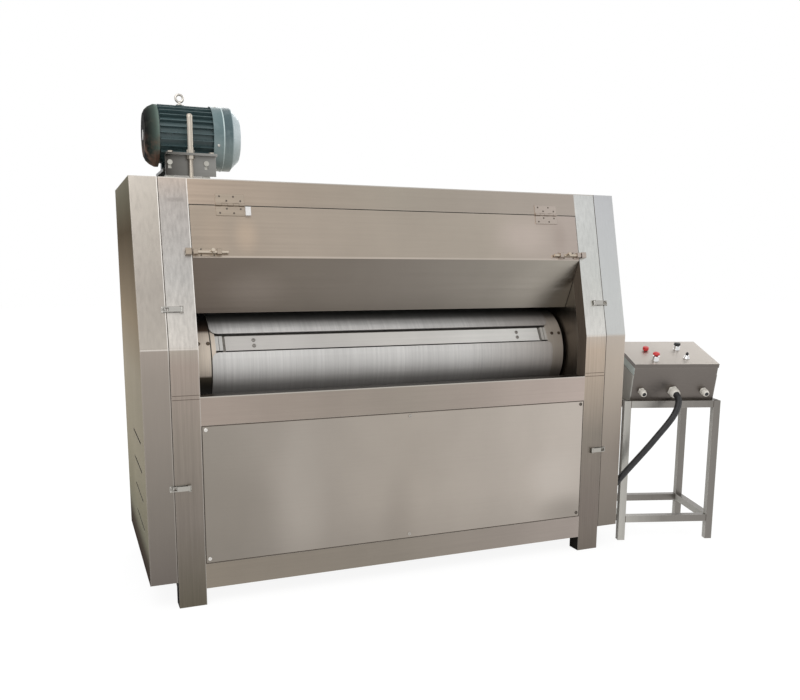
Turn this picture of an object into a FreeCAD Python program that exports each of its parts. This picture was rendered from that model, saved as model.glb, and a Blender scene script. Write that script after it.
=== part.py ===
import FreeCAD, Part
import math
import os
import re
import Sketcher

# Drum-type skin dehairing machine with its control console, in millimetres.
# Machine frame while building: X = 0 on the centre plane, Y = 0 on the front of the posts and
# growing to the rear, Z = 0 on the floor. Each finished node is then moved so that the origin is
# the bottom centre of the whole object without its conduit.

SIZES = [
    # frame and panels
    ("opening_width", 1550),
    ("post_width", 95),
    ("post_depth", 60),
    ("cover_width", 95),
    ("cover_bottom", 95),
    ("machine_depth", 800),
    ("top_height", 1480),
    ("kink_height", 910),
    ("top_setback", 137),
    ("tube_wall", 4),
    ("sheet_thick", 3),
    ("wall_thick", 10),
    ("rail_bottom", 60),
    ("rail_top", 150),
    ("panel_top", 645),
    ("beam_top", 745),
    ("panel_gap", 1),
    ("lip_height", 30),
    ("top_rail_height", 60),
    ("flange_thick", 6),
    ("header_depth", 50),
    ("screw_radius", 3),
    ("screw_head_radius", 8),
    ("screw_head_height", 3),
    ("panel_screw_side", 760),
    ("panel_screw_low", 168),
    ("panel_screw_high", 630),
    ("louvre_front", 130),
    ("louvre_length", 300),
    ("louvre_height", 10),
    ("louvre_low", 250),
    ("louvre_step", 105),
    # drum and its drive
    ("drum_y", 330),
    ("drum_rise", 77),
    ("drum_radius", 190),
    ("plate_thick", 6),
    ("slot_angle", 28.5),
    ("slot_half_angle", 11.05),
    ("plate_corner", 25),
    ("ring_inner", 690),
    ("ring_outer", 762),
    ("ring_overlap", 16),
    ("ring_rim", 16),
    ("ring_web", 16),
    ("hub_radius", 55),
    ("drum_shaft_radius", 30),
    ("core_half_width", 40),
    ("core_half_height", 168),
    ("core_wall", 6),
    ("bar_half_width", 28),
    ("bar_thick", 10),
    ("bar_half_length", 654),
    ("block_gap", 10),
    ("block_height", 14),
    ("bar_screw_x", 550),
    ("bar_screw_pair", 11),
    ("drum_screw_radius", 5),
    ("drum_screw_head", 8),
    ("drum_screw_height", 5),
    ("ring_bolt_near", 716),
    ("ring_bolt_far", 750),
    ("running_gap", 0.05),
    ("bearing_thick", 14),
    ("bearing_half", 55),
    ("boss_radius", 44),
    ("boss_length", 35),
    ("shaft_hole_gap", 6),
    ("shaft_overhang", 10),
    ("sprocket_clear", 30),
    ("sprocket_thick", 12),
    ("drum_teeth", 24),
    ("gear_teeth", 10),
    ("drum_pitch_radius", 110),
    ("tooth_height", 7),
    ("gear_drop", 422),
    ("gear_shaft_radius", 17.5),
    ("gear_flange", 10),
    ("gearbox_half", 75),
    ("gearbox_length", 150),
    ("gear_motor_radius", 68),
    ("gear_motor_length", 230),
    ("chain_gap", 0.3),
    ("chain_plate", 3.5),
    ("chain_half", 8),
    # blade roller
    ("roller_y", 404),
    ("roller_rise", 276),
    ("roller_radius", 78),
    ("blade_tip_radius", 90),
    ("blade_thick", 4),
    ("blade_count", 8),
    ("blade_twist", 60),
    ("roller_half_length", 745),
    ("roller_shaft_radius", 25),
    ("pulley_radius", 65),
    ("pulley_clear", 25),
    ("pulley_width", 52),
    ("groove_depth", 12),
    ("groove_width", 14),
    # hood with hinges and barrel bolts
    ("header_height", 88),
    ("slit_gap", 3),
    ("hood_upper", 179),
    ("edge_front", 165.5),
    ("edge_rise", 197),
    ("hood_side_gap", 2),
    ("hood_flange", 28),
    ("hinge_x", 634),
    ("hinge_width", 100),
    ("leaf_height", 38),
    ("leaf_thick", 2.5),
    ("leaf_clear", 6),
    ("knuckle_radius", 4.5),
    ("knuckle_offset", 5),
    ("knuckle_gap", 0.4),
    ("pin_radius", 2.5),
    ("bolt_rise", 17),
    ("bolt_radius", 5.5),
    ("bolt_offset", 9),
    ("bolt_tip", 772.5),
    ("bolt_tail", 652),
    ("bolt_travel", 41),
    ("bolt_knob_x", 708),
    ("barrel_inner", 676),
    ("barrel_outer", 772),
    ("barrel_loop", 16),
    ("keeper_inner", 777),
    ("keeper_outer", 797),
    ("keeper_gap", 1),
    ("sensor_x", -574),
    # latches of the side covers
    ("latch_rise", 130),
    ("latch_low", 432),
    ("latch_pin_x", 822),
    ("latch_pin_radius", 2.5),
    ("latch_offset", 8),
    ("latch_half", 11),
    ("latch_lever_end", 864),
    ("latch_base_end", 867),
    ("catch_x", 877),
    ("catch_thick", 3),
    ("loop_wire", 1.8),
    ("loop_gap", 0.6),
    # motor on the roof
    ("motor_y", 470),
    ("motor_rise", 177),
    ("motor_drive_end", 879),
    ("shield_edge", 831),
    ("frame_edge", 633),
    ("motor_body_radius", 98),
    ("stator_bore", 60),
    ("fin_radius", 112.5),
    ("fin_thick", 3),
    ("fin_count", 30),
    ("shield_radius", 111),
    ("cowl_radius", 117),
    ("cowl_wall", 2.5),
    ("cowl_start", 639),
    ("fan_end", 586),
    ("cowl_rim", 566),
    ("cowl_end", 534),
    ("cowl_face_radius", 82),
    ("motor_shaft_radius", 19),
    ("motor_shaft_stub", 1),
    ("rotor_gap", 1),
    ("fan_radius", 95),
    ("eye_x", 744),
    ("eye_rise", 139),
    ("eye_radius", 13.5),
    ("eye_wire", 4.5),
    ("plate_left", 820),
    ("plate_right", 640),
    ("plate_rise", 40),
    ("motor_plate_thick", 10),
    ("apron_front", 330),
    ("apron_thick", 6),
    ("apron_foot", 25),
    ("apron_head", 102),
    ("apron_flange", 34),
    ("base_thick", 10),
    ("slide_travel", 15),
    ("slide_gap", 0.3),
    ("clamp_left", 804),
    ("clamp_right", 675),
    ("clamp_rise", 70),
    ("clamp_radius", 5),
    ("clamp_head", 9),
    ("rod_x", 732),
    ("rod_y", 313),
    ("rod_radius", 7.5),
    ("rod_rise", 224),
    ("nut_half", 12),
    ("nut_height", 12),
    ("sleeve_radius", 10),
    ("sleeve_rise", 231),
    # console
    ("stand_x", 1016.7),
    ("stand_y", 47.4),
    ("stand_turn", 17.5),
    ("stand_width", 425),
    ("stand_depth", 360),
    ("stand_height", 620),
    ("stand_tube", 30),
    ("stand_wall", 2),
    ("stand_rail_z", 80),
    ("box_x", 30.5),
    ("box_y", 20),
    ("box_tilt", 14.5),
    ("box_width", 364),
    ("box_depth", 275),
    ("box_height", 165),
    ("box_wall", 2),
    ("lid_thick", 2.5),
    ("lid_lap", 2.5),
    ("lid_rim", 15),
    ("bracket_thick", 3),
    ("bracket_height", 115),
    ("gland_height", 43),
    ("gland_left", 43),
    ("gland_mid", 182),
    ("gland_right", 317),
    ("gland_length", 38),
    ("gland_radius", 15),
    ("big_gland_length", 42),
    ("big_gland_radius", 20),
    ("plug_radius", 6),
    ("conduit_radius", 14),
    ("conduit_seat", 14),
    ("elbow_x", 985),
    ("elbow_y", 190),
    ("elbow_z", 228),
    ("elbow_radius", 18),
    ("elbow_reach", 45),
    ("button_stem", 8),
    ("stem_gap", 0.3),
    ("red_a", 99),
    ("red_b", 160),
    ("red_radius", 13),
    ("red_travel", 4),
    ("stop_a", 100),
    ("stop_b", 40),
    ("stop_radius", 18),
    ("stop_travel", 5),
    ("stop_collar", 22),
    ("selector_a", 244),
    ("selector_b", 172),
    ("selector_radius", 13),
    ("speed_a", 246),
    ("speed_b", 62),
    ("speed_radius", 6.5),
    ("collar_wide", 14.5),
    ("collar_small", 9),
    ("collar_height", 20),
    ("collar_low", 17),
    ("collar_foot", 6),
]

# Route of the conduit between its two glands, as corners of its straight runs in the machine
# frame. Its first and last corners are worked out from the glands.
ROUTE = [(1180, -97, 613), (1152, -106, 575), (1118, -102, 533), (1088, -90, 492),
         (1061.5, -76, 450.5), (1024, -38, 378.5), (990, 6, 305.5), (985.5, 54, 249)]

# Sizes that follow from the ones above, as formulas of the sheet.
FORMULAS = [
    ("drum_z", "beam_top + drum_rise"),
    ("gear_z", "drum_z - gear_drop"),
    ("roller_z", "drum_z + roller_rise"),
    ("sprocket_x", "opening_width / 2 + post_width + sprocket_clear"),
    ("pulley_inner", "opening_width / 2 + post_width + pulley_clear"),
    ("slit_height", "top_height - header_height"),
    ("fold_height", "slit_height - hood_upper"),
    ("hood_edge_y", "drum_y - edge_front"),
    ("hood_edge_z", "drum_z + edge_rise"),
    ("bolt_height", "fold_height + bolt_rise"),
    ("latch_high", "kink_height + latch_rise"),
    ("motor_z", "top_height + motor_rise"),
    ("eye_z", "motor_z + eye_rise"),
    ("plate_level", "top_height + plate_rise"),
    ("apron_low", "top_height + apron_foot"),
    ("apron_high", "top_height + apron_head"),
    ("clamp_z", "top_height + clamp_rise"),
    ("rod_top", "top_height + rod_rise"),
    ("sleeve_top", "top_height + sleeve_rise"),
]

doc = FreeCAD.newDocument("Dehairing_machine")
sheet = doc.addObject("Spreadsheet::Sheet", "Sizes")
for row, (name, value) in enumerate(SIZES + FORMULAS, 1):
    sheet.set("A%d" % row, name)
    sheet.set("B%d" % row, "=" + value if isinstance(value, str) else str(value))
    sheet.setAlias("B%d" % row, name)
doc.recompute()
S = dict(SIZES)
S.update({name: float(sheet.get(name)) for name, formula in FORMULAS})

WORD = re.compile(r"[a-z][a-z_]*")


def ex(text):
    """Write a formula of size names as an expression on the sheet."""
    return WORD.sub(lambda m: "Sizes." + m.group(0) if m.group(0) in S else m.group(0), str(text))


def spot(x, y, z, axis=(0, 0, 1), angle="0"):
    return "placement(vector(%s; %s; %s); rotation(vector(%d; %d; %d); %s))" % (
        ex(x), ex(y), ex(z), axis[0], axis[1], axis[2], ex(angle))


# Shared formulas.
HALF = "opening_width / 2"
SEAM = "opening_width / 2 + post_width"
SIDE = "opening_width / 2 + post_width + cover_width"
UNDER_ROOF = "top_height - sheet_thick"
LEAN = "atan(top_setback / (top_height - kink_height))"
LID_TOP = "box_height + lid_thick"
END_X = "stand_x + stand_width * cos(stand_turn) + stand_depth * sin(stand_turn)"
FRONT_Y = ("stand_y - (box_x + box_width + lid_lap) * sin(stand_turn)"
           " + (box_y - lid_lap * cos(box_tilt) - (box_height + lid_thick) * sin(box_tilt))"
           " * cos(stand_turn)")


def slope_y(z):
    return "((%s) - kink_height) * top_setback / (top_height - kink_height)" % z


def along(z):
    return "((%s) - kink_height) / cos(%s)" % (z, LEAN)


ORIGIN = spot("-(%s - (%s)) / 2" % (END_X, SIDE), "-(machine_depth + %s) / 2" % FRONT_Y, 0)
SLOPE = spot(0, 0, "kink_height", (1, 0, 0), "-" + LEAN)
DRUM = spot(0, "drum_y", "drum_z", (1, 0, 0), "90 - slot_angle")
ROLLER = spot(0, "roller_y", "roller_z")
MOTOR = spot(0, "motor_y", "motor_z")
STAND = spot("stand_x", "stand_y", 0, (0, 0, 1), "-stand_turn")
CONSOLE = STAND + " * " + spot("box_x", "box_y", "stand_height", (1, 0, 0), "box_tilt")

NODES = []


def node(name, item, frame=None):
    """Name a finished piece and set its Placement from the sheet."""
    item.Label = name
    item.setExpression("Placement", ORIGIN + (" * " + frame if frame else ""))
    NODES.append((name, item))
    return item


def put(item, frame):
    item.setExpression("Placement", frame)
    return item


def rect(u_low, u_high, v_low, v_high):
    return [(u_low, v_low), (u_high, v_low), (u_high, v_high), (u_low, v_high)]


def circle(u, v, radius):
    return ("circle", u, v, radius)


def gon(u, v, radius, count):
    """A regular polygon, for small round features that need few faces."""
    dots = []
    for i in range(count):
        turn = 2 * math.pi * (i + 0.5) / count
        dots.append(("%s + (%s) * %.5f" % (u, radius, math.cos(turn)),
                     "%s + (%s) * %.5f" % (v, radius, math.sin(turn))))
    return dots


ROLES = {"yz": "YZ_Plane", "xz": "XZ_Plane", "xy": "XY_Plane"}
counter = [0]


def fresh(stem):
    counter[0] += 1
    return "%s_%03d" % (stem, counter[0])


def draw(body, plane, loops, offset):
    sk = body.newObject("Sketcher::SketchObject", fresh("sketch"))
    base = [f for f in body.Origin.OriginFeatures if f.Role == ROLES[plane]][0]
    sk.AttachmentSupport = [(base, "")]
    sk.MapMode = "FlatFace"
    sk.setExpression("AttachmentOffset.Base.z", ex(offset))
    for loop in loops:
        if loop[0] == "circle":
            ring = Part.Circle(FreeCAD.Vector(1, 1, 0), FreeCAD.Vector(0, 0, 1), 1)
            g = sk.addGeometry(ring, False)
            terms = [("Radius", (g, 1.0), loop[3]),
                     ("DistanceX", (-1, 1, g, 3, 1.0), loop[1]),
                     ("DistanceY", (-1, 1, g, 3, 1.0), loop[2])]
            for kind, where, value in terms:
                c = sk.addConstraint(Sketcher.Constraint(kind, *where))
                sk.setExpression("Constraints[%d]" % c, ex(value))
            continue
        n = len(loop)
        turn = [2 * math.pi * i / n for i in range(n)]
        dots = [FreeCAD.Vector(math.cos(t), math.sin(t), 0) for t in turn]
        lines = [Part.LineSegment(dots[i], dots[(i + 1) % n]) for i in range(n)]
        ids = sk.addGeometry(lines, False)
        for i in range(n):
            link = Sketcher.Constraint("Coincident", ids[i], 2, ids[(i + 1) % n], 1)
            sk.addConstraint(link)
        for i, (u, v) in enumerate(loop):
            for kind, value in (("DistanceX", u), ("DistanceY", v)):
                c = sk.addConstraint(Sketcher.Constraint(kind, -1, 1, ids[i], 1, 1.0))
                sk.setExpression("Constraints[%d]" % c, ex(value))
    return sk


def new_body(stem):
    return doc.addObject("PartDesign::Body", fresh(stem))


def pad(body, plane, loops, low, high):
    """Add material between two levels along the plane's own axis."""
    start = "-(%s)" % high if plane == "xz" else low
    sk = draw(body, plane, loops, start)
    item = body.newObject("PartDesign::Pad", fresh("pad"))
    item.Profile = sk
    item.setExpression("Length", ex("(%s) - (%s)" % (high, low)))
    body.Tip = item
    return body


def hollow(body, plane, loops, low, high):
    """Take material away between two levels along the plane's own axis."""
    start = "-(%s)" % low if plane == "xz" else high
    sk = draw(body, plane, loops, start)
    item = body.newObject("PartDesign::Pocket", fresh("pocket"))
    item.Profile = sk
    item.setExpression("Length", ex("(%s) - (%s)" % (high, low)))
    body.Tip = item
    return body


def turned(body, loop, axis="H_Axis"):
    """Revolve a profile drawn in the XZ plane about its X or Z axis."""
    sk = draw(body, "xz", [loop], 0)
    item = body.newObject("PartDesign::Revolution", fresh("revolution"))
    item.Profile = sk
    item.ReferenceAxis = (sk, [axis])
    item.Angle = 360
    body.Tip = item
    return body


def block(x, y, z, frame=None):
    """A box between two levels along each axis."""
    item = doc.addObject("Part::Box", fresh("box"))
    for prop, (low, high) in (("Length", x), ("Width", y), ("Height", z)):
        item.setExpression(prop, ex("(%s) - (%s)" % (high, low)))
    corner = spot(x[0], y[0], z[0])
    return put(item, frame + " * " + corner if frame else corner)


def rod(axis, radius, low, high, a, b, frame=None):
    """A cylinder along x, y or z. a and b are its other two coordinates in order."""
    item = doc.addObject("Part::Cylinder", fresh("cylinder"))
    item.setExpression("Radius", ex(radius))
    item.setExpression("Height", ex("(%s) - (%s)" % (high, low)))
    if axis == "x":
        place = spot(low, a, b, (0, 1, 0), "90")
    elif axis == "y":
        place = spot(a, low, b, (1, 0, 0), "-90")
    else:
        place = spot(a, b, low)
    return put(item, frame + " * " + place if frame else place)


def minus(base, *tools):
    item = doc.addObject("Part::Cut", fresh("cut"))
    item.Base = base
    item.Tool = tools[0] if len(tools) == 1 else joined(*tools)
    return item


def joined(*items):
    item = doc.addObject("Part::MultiFuse", fresh("fusion"))
    item.Shapes = list(items)
    return item


def group(*items):
    item = doc.addObject("Part::Compound", fresh("group"))
    item.Links = list(items)
    return item


def coded(stem, shape):
    """A shape worked out in code from the sheet's values."""
    item = doc.addObject("Part::Feature", fresh(stem))
    item.Shape = shape
    return item


def side_range(side, inner, outer):
    if side > 0:
        return inner, outer
    return "-(%s)" % outer, "-(%s)" % inner


def tube_box(x, y, z, axis):
    """A square tube along one axis, open at its ends."""
    spans = {"x": x, "y": y, "z": z}
    inner = {}
    for key, (low, high) in spans.items():
        if key == axis:
            inner[key] = (low, high)
        else:
            inner[key] = ("(%s) + tube_wall" % low, "(%s) - tube_wall" % high)
    return minus(block(x, y, z), block(inner["x"], inner["y"], inner["z"]))


# Front posts, with the kink above the feed opening.
def front_post(side):
    low, high = side_range(side, HALF, SEAM)
    lean_top = slope_y(UNDER_ROOF)
    body = new_body("front_post")
    outer = [(0, 0), ("post_depth", 0), ("post_depth", "kink_height"),
             (lean_top + " + post_depth", UNDER_ROOF), (lean_top, UNDER_ROOF), (0, "kink_height")]
    inner = [("tube_wall", "tube_wall"), ("post_depth - tube_wall", "tube_wall"),
             ("post_depth - tube_wall", "kink_height"),
             (lean_top + " + post_depth - tube_wall", UNDER_ROOF),
             (lean_top + " + tube_wall", UNDER_ROOF), ("tube_wall", "kink_height")]
    pad(body, "yz", [outer], low, high)
    hollow(body, "yz", [inner], low + " + tube_wall", high + " - tube_wall")
    return body


node("left_front_post", front_post(-1))
node("right_front_post", front_post(1))

# Rear posts and rails, and the flat bars that close the frame at the top of each side.
REAR = ("machine_depth - post_depth", "machine_depth")
pieces = []
for side in (-1, 1):
    span = side_range(side, HALF, SEAM)
    post = tube_box(span, REAR, (0, UNDER_ROOF), "z")
    foot = block((span[0] + " + tube_wall", span[1] + " - tube_wall"),
                 (REAR[0] + " + tube_wall", REAR[1] + " - tube_wall"), (0, "tube_wall"))
    pieces.append(joined(post, foot))
    span = side_range(side, HALF + " + wall_thick", SEAM)
    pieces.append(tube_box(span, ("post_depth", REAR[0]), ("rail_bottom", "rail_top"), "y"))
    strap = new_body("strap")
    low_end = UNDER_ROOF + " - top_rail_height"
    outline = [(slope_y(low_end) + " + post_depth", low_end), (REAR[0], low_end),
               (REAR[0], UNDER_ROOF), (slope_y(UNDER_ROOF) + " + post_depth", UNDER_ROOF)]
    span = side_range(side, SEAM + " - flange_thick", SEAM)
    pieces.append(pad(strap, "yz", [outline], *span))
ACROSS = ("-" + HALF, HALF)
pieces.append(tube_box(ACROSS, REAR, ("rail_bottom", "rail_top"), "x"))
pieces.append(tube_box(ACROSS, REAR, (UNDER_ROOF + " - top_rail_height", UNDER_ROOF), "x"))
node("rear_frame", group(*pieces))

# Header beam above the hood, feed beam below the opening, bottom rail.
body = new_body("header")
lean_slit = slope_y("slit_height")
lean_top = slope_y(UNDER_ROOF)
pad(body, "yz", [[(lean_slit, "slit_height"), (lean_slit + " + header_depth", "slit_height"),
                  (lean_top + " + header_depth", UNDER_ROOF), (lean_top, UNDER_ROOF)]], *ACROSS)
hollow(body, "yz", [[(lean_slit + " + sheet_thick + 1", "slit_height + sheet_thick"),
                     (lean_slit + " + header_depth - sheet_thick", "slit_height + sheet_thick"),
                     (lean_top + " + header_depth - sheet_thick - 1", UNDER_ROOF + " - sheet_thick"),
                     (lean_top + " + sheet_thick", UNDER_ROOF + " - sheet_thick")]], *ACROSS)
node("header_beam", body)

SCREW_X = ["-panel_screw_side", "0", "panel_screw_side"]
HIGH_HOLES = [gon(x, "panel_screw_high", "screw_radius", 6) for x in SCREW_X]
LOW_HOLES = [gon(x, "panel_screw_low", "screw_radius", 6) for x in SCREW_X]
LIP = ("sheet_thick", "sheet_thick * 2")
lip_low = rect("-" + HALF, HALF, "panel_top - lip_height", "panel_top")
lip_high = rect("-" + HALF, HALF, "rail_top", "rail_top + lip_height")

body = new_body("feed_beam")
pad(body, "yz", [rect(0, "post_depth", "panel_top", "beam_top")], *ACROSS)
hollow(body, "yz", [rect("tube_wall", "post_depth - tube_wall", "panel_top + tube_wall",
                         "beam_top - tube_wall")], *ACROSS)
pad(body, "xz", [lip_low] + HIGH_HOLES, *LIP)
node("feed_beam", body)

body = new_body("bottom_rail")
pad(body, "yz", [rect(0, "post_depth", "rail_bottom", "rail_top")], *ACROSS)
hollow(body, "yz", [rect("tube_wall", "post_depth - tube_wall", "rail_bottom + tube_wall",
                         "rail_top - tube_wall")], *ACROSS)
pad(body, "xz", [lip_high] + LOW_HOLES, *LIP)
node("bottom_front_rail", body)

# Front, rear and roof panels.
body = new_body("front_panel")
edge = HALF + " - panel_gap"
pad(body, "xz", [rect("-(%s)" % edge, edge, "rail_top + panel_gap", "panel_top - panel_gap")]
    + HIGH_HOLES + LOW_HOLES, 0, "sheet_thick")
for side in (-1, 1):
    low, high = side_range(side, edge + " - sheet_thick", edge)
    pad(body, "xz", [rect(low, high, "rail_top + lip_height + 1", "panel_top - lip_height - 1")],
        "sheet_thick", "sheet_thick * 8")
node("front_panel", body)

body = new_body("rear_panel")
pad(body, "xz", [rect("-" + HALF, HALF, "rail_top", UNDER_ROOF + " - top_rail_height")],
    "machine_depth - sheet_thick", "machine_depth")
node("rear_panel", body)

body = new_body("roof_panel")
pad(body, "yz", [[(slope_y(UNDER_ROOF), UNDER_ROOF), ("machine_depth", UNDER_ROOF),
                  ("machine_depth", "top_height"), ("top_setback", "top_height")]],
    "-(%s)" % SEAM, SEAM)
node("roof_panel", body)

# Side walls that carry the bearings.
body = new_body("side_walls")
outline = [("post_depth", "rail_bottom"), (REAR[0], "rail_bottom"), (REAR[0], UNDER_ROOF),
           (slope_y(UNDER_ROOF) + " + post_depth", UNDER_ROOF), ("post_depth", "kink_height")]
drum_hole = circle("drum_y", "drum_z", "drum_shaft_radius + shaft_hole_gap")
roller_hole = circle("roller_y", "roller_z", "roller_shaft_radius + shaft_hole_gap")
gear_hole = circle("drum_y", "gear_z", "gear_shaft_radius + shaft_hole_gap")
WALL = (HALF, HALF + " + wall_thick")
pad(body, "yz", [outline, drum_hole, roller_hole], *side_range(-1, *WALL))
pad(body, "yz", [outline, drum_hole, roller_hole, gear_hole], *side_range(1, *WALL))
node("side_walls", body)


# Side covers, welded from flat sheets and open below, with ventilation slots low on the outside.
def side_cover(side):
    level = "top_height - sheet_thick"
    back = "machine_depth - sheet_thick"
    outer = [(0, "cover_bottom"), ("machine_depth", "cover_bottom"),
             ("machine_depth", "top_height"), ("top_setback", "top_height"), (0, "kink_height")]
    slots = []
    for i in range(4):
        start = "louvre_low + %d * louvre_step" % i
        slots.append(rect("louvre_front", "louvre_front + louvre_length", start,
                          start + " + louvre_height"))
    if side > 0:
        slots.append(circle("elbow_y", "elbow_z", "conduit_radius - sheet_thick"))
    face = pad(new_body("cover_face"), "yz", [outer] + slots,
               *side_range(side, SIDE + " - sheet_thick", SIDE))
    strips = [
        rect(back, "machine_depth", "cover_bottom", level),
        [(slope_y(level), level), ("machine_depth", level), ("machine_depth", "top_height"),
         ("top_setback", "top_height")],
        rect(0, "sheet_thick", "cover_bottom", "kink_height"),
        [(0, "kink_height"), ("sheet_thick", "kink_height"),
         (slope_y(level) + " + sheet_thick", level), (slope_y(level), level)],
    ]
    rims = [pad(new_body("cover_rim"), "yz", [strip], *side_range(side, SEAM, SIDE + " - sheet_thick"))
            for strip in strips]
    return group(face, *rims)


node("left_side_cover", side_cover(-1))
node("right_side_cover", side_cover(1))

body = new_body("panel_screws")
heads = [gon(x, z, "screw_head_radius", 12) for x in SCREW_X
         for z in ("panel_screw_low", "panel_screw_high")]
shanks = [gon(x, z, "screw_radius", 6) for x in SCREW_X
          for z in ("panel_screw_low", "panel_screw_high")]
pad(body, "xz", heads, "-screw_head_height", 0)
pad(body, "xz", shanks, 0, "sheet_thick * 2")
node("panel_screws", body)

# Flange bearings outside the side walls, each with its four bolts.
body = new_body("flange_bearings")
FACE = HALF + " + wall_thick"
for side in (-1, 1):
    for y, z, shaft in (("drum_y", "drum_z", "drum_shaft_radius"),
                        ("roller_y", "roller_z", "roller_shaft_radius")):
        bore = circle(y, z, shaft + " + running_gap")
        square = rect(y + " - bearing_half", y + " + bearing_half",
                      z + " - bearing_half", z + " + bearing_half")
        pad(body, "yz", [square, bore], *side_range(side, FACE, FACE + " + bearing_thick"))
        pad(body, "yz", [circle(y, z, "boss_radius"), bore],
            *side_range(side, FACE + " + bearing_thick", FACE + " + boss_length"))
        bolts = [gon("%s + %d * 42" % (y, i), "%s + %d * 42" % (z, k), "screw_head_radius", 6)
                 for i in (-1, 1) for k in (-1, 1)]
        pad(body, "yz", bolts, *side_range(side, FACE + " + bearing_thick",
                                           FACE + " + bearing_thick + 7"))
node("flange_bearings", body)

# Drum. In its own frame the two slots face +Z and -Z.
body = new_body("drum_shaft")
pad(body, "yz", [circle(0, 0, "drum_shaft_radius")],
    "-(%s + boss_length + shaft_overhang)" % FACE, "sprocket_x + sprocket_thick + shaft_overhang")
node("drum_shaft", body, DRUM)

SHELL = "drum_radius - plate_thick"
body = new_body("drum_core")
pad(body, "yz", [rect("-core_half_width", "core_half_width", "-core_half_height",
                      "core_half_height"),
                 rect("-core_half_width + core_wall", "core_half_width - core_wall",
                      "-core_half_height + core_wall", "core_half_height - core_wall")],
    "-ring_inner", "ring_inner")
for low, high in (("-ring_inner", "-ring_inner + 12"), ("-6", "6"),
                  ("ring_inner - 12", "ring_inner")):
    pad(body, "yz", [rect("-core_half_width", "core_half_width", "-core_half_height",
                          "core_half_height"), circle(0, 0, "drum_shaft_radius")], low, high)
spots = [("%d * bar_screw_x" % i, "%d * bar_screw_pair" % k) for i in (-1, 1) for k in (-1, 1)]
holes = [gon(x, y, "drum_screw_radius", 6) for x, y in spots]
hollow(body, "xy", holes, "core_half_height - core_wall", "core_half_height")
hollow(body, "xy", holes, "-core_half_height", "-core_half_height + core_wall")
node("drum_core", body, DRUM)

body = new_body("end_rings")
for side in (-1, 1):
    pad(body, "yz", [circle(0, 0, SHELL), circle(0, 0, "drum_shaft_radius")],
        *side_range(side, "ring_inner", "ring_outer"))
for side in (-1, 1):
    hollow(body, "yz", [circle(0, 0, SHELL + " - ring_rim"), circle(0, 0, "hub_radius")],
           *side_range(side, "ring_inner + ring_web", "ring_outer"))
rings = [("%d * %s" % (i, x), "0") for i in (-1, 1) for x in ("ring_bolt_near", "ring_bolt_far")]
bolt_holes = [gon(x, y, "drum_screw_radius", 6) for x, y in rings]
hollow(body, "xy", bolt_holes, SHELL + " - 12", SHELL + " + 2")
hollow(body, "xy", bolt_holes, "-(%s) - 2" % SHELL, "-(%s) + 12" % SHELL)
node("drum_end_rings", body, DRUM)

body = new_body("drum_plates")
reach = "ring_inner + ring_overlap"
pad(body, "yz", [circle(0, 0, "drum_radius"), circle(0, 0, SHELL)], "-(%s)" % reach, reach)
for sign in ("", "-"):
    wedge = [(0, 0), ("%s300 * tan(slot_half_angle)" % sign, "%s300" % sign),
             ("-(%s300 * tan(slot_half_angle))" % sign, "%s300" % sign)]
    hollow(body, "yz", [wedge], "-(%s)" % reach, reach)
lip_y = "drum_radius * sin(slot_half_angle)"
corners = []
for i in (-1, 1):
    for k in (-1, 1):
        dots = [(1, -3), ("-plate_corner", -3), ("-plate_corner", 0)]
        for turn in (30, 60):
            dots.append(("-plate_corner * %.4f" % (1 - math.sin(math.radians(turn))),
                         "plate_corner * %.4f" % (1 - math.cos(math.radians(turn)))))
        dots += [(0, "plate_corner"), (1, "plate_corner")]
        if i * k < 0:
            dots.reverse()
        corners.append([("%d * (%s + %s)" % (i, reach, u), "%d * (%s + %s)" % (k, lip_y, v))
                        for u, v in dots])
hollow(body, "xy", corners, "drum_radius * 0.8", "drum_radius + 1")
hollow(body, "xy", corners, "-drum_radius - 1", "-drum_radius * 0.8")
node("drum_plates", body, DRUM)

BAR_TOP = "core_half_height + bar_thick"
body = new_body("clamp_bars")
bar = rect("-bar_half_length", "bar_half_length", "-bar_half_width", "bar_half_width")
pad(body, "xy", [bar] + holes, "core_half_height", BAR_TOP)
pad(body, "xy", [bar] + holes, "-(%s)" % BAR_TOP, "-core_half_height")
node("clamp_bars", body, DRUM)

body = new_body("guide_blocks")
blocks = [rect(*(side_range(side, "bar_half_length + block_gap", "ring_inner")
                 + ("-bar_half_width", "bar_half_width"))) for side in (-1, 1)]
pad(body, "xy", blocks, "core_half_height", "core_half_height + block_height")
pad(body, "xy", blocks, "-core_half_height - block_height", "-core_half_height")
node("guide_blocks", body, DRUM)

body = new_body("drum_screws")
for places, foot, neck, head in (
        (spots, "core_half_height - core_wall", BAR_TOP, "drum_screw_height"),
        (rings, SHELL + " - 12", SHELL, "drum_screw_height")):
    heads = [gon(x, y, "drum_screw_head", 12) for x, y in places]
    shanks = [gon(x, y, "drum_screw_radius", 6) for x, y in places]
    pad(body, "xy", shanks, foot, neck)
    pad(body, "xy", heads, neck, "%s + %s" % (neck, head))
    pad(body, "xy", shanks, "-(%s)" % neck, "-(%s)" % foot)
    pad(body, "xy", heads, "-(%s + %s)" % (neck, head), "-(%s)" % neck)
node("drum_screws", body, DRUM)


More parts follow.
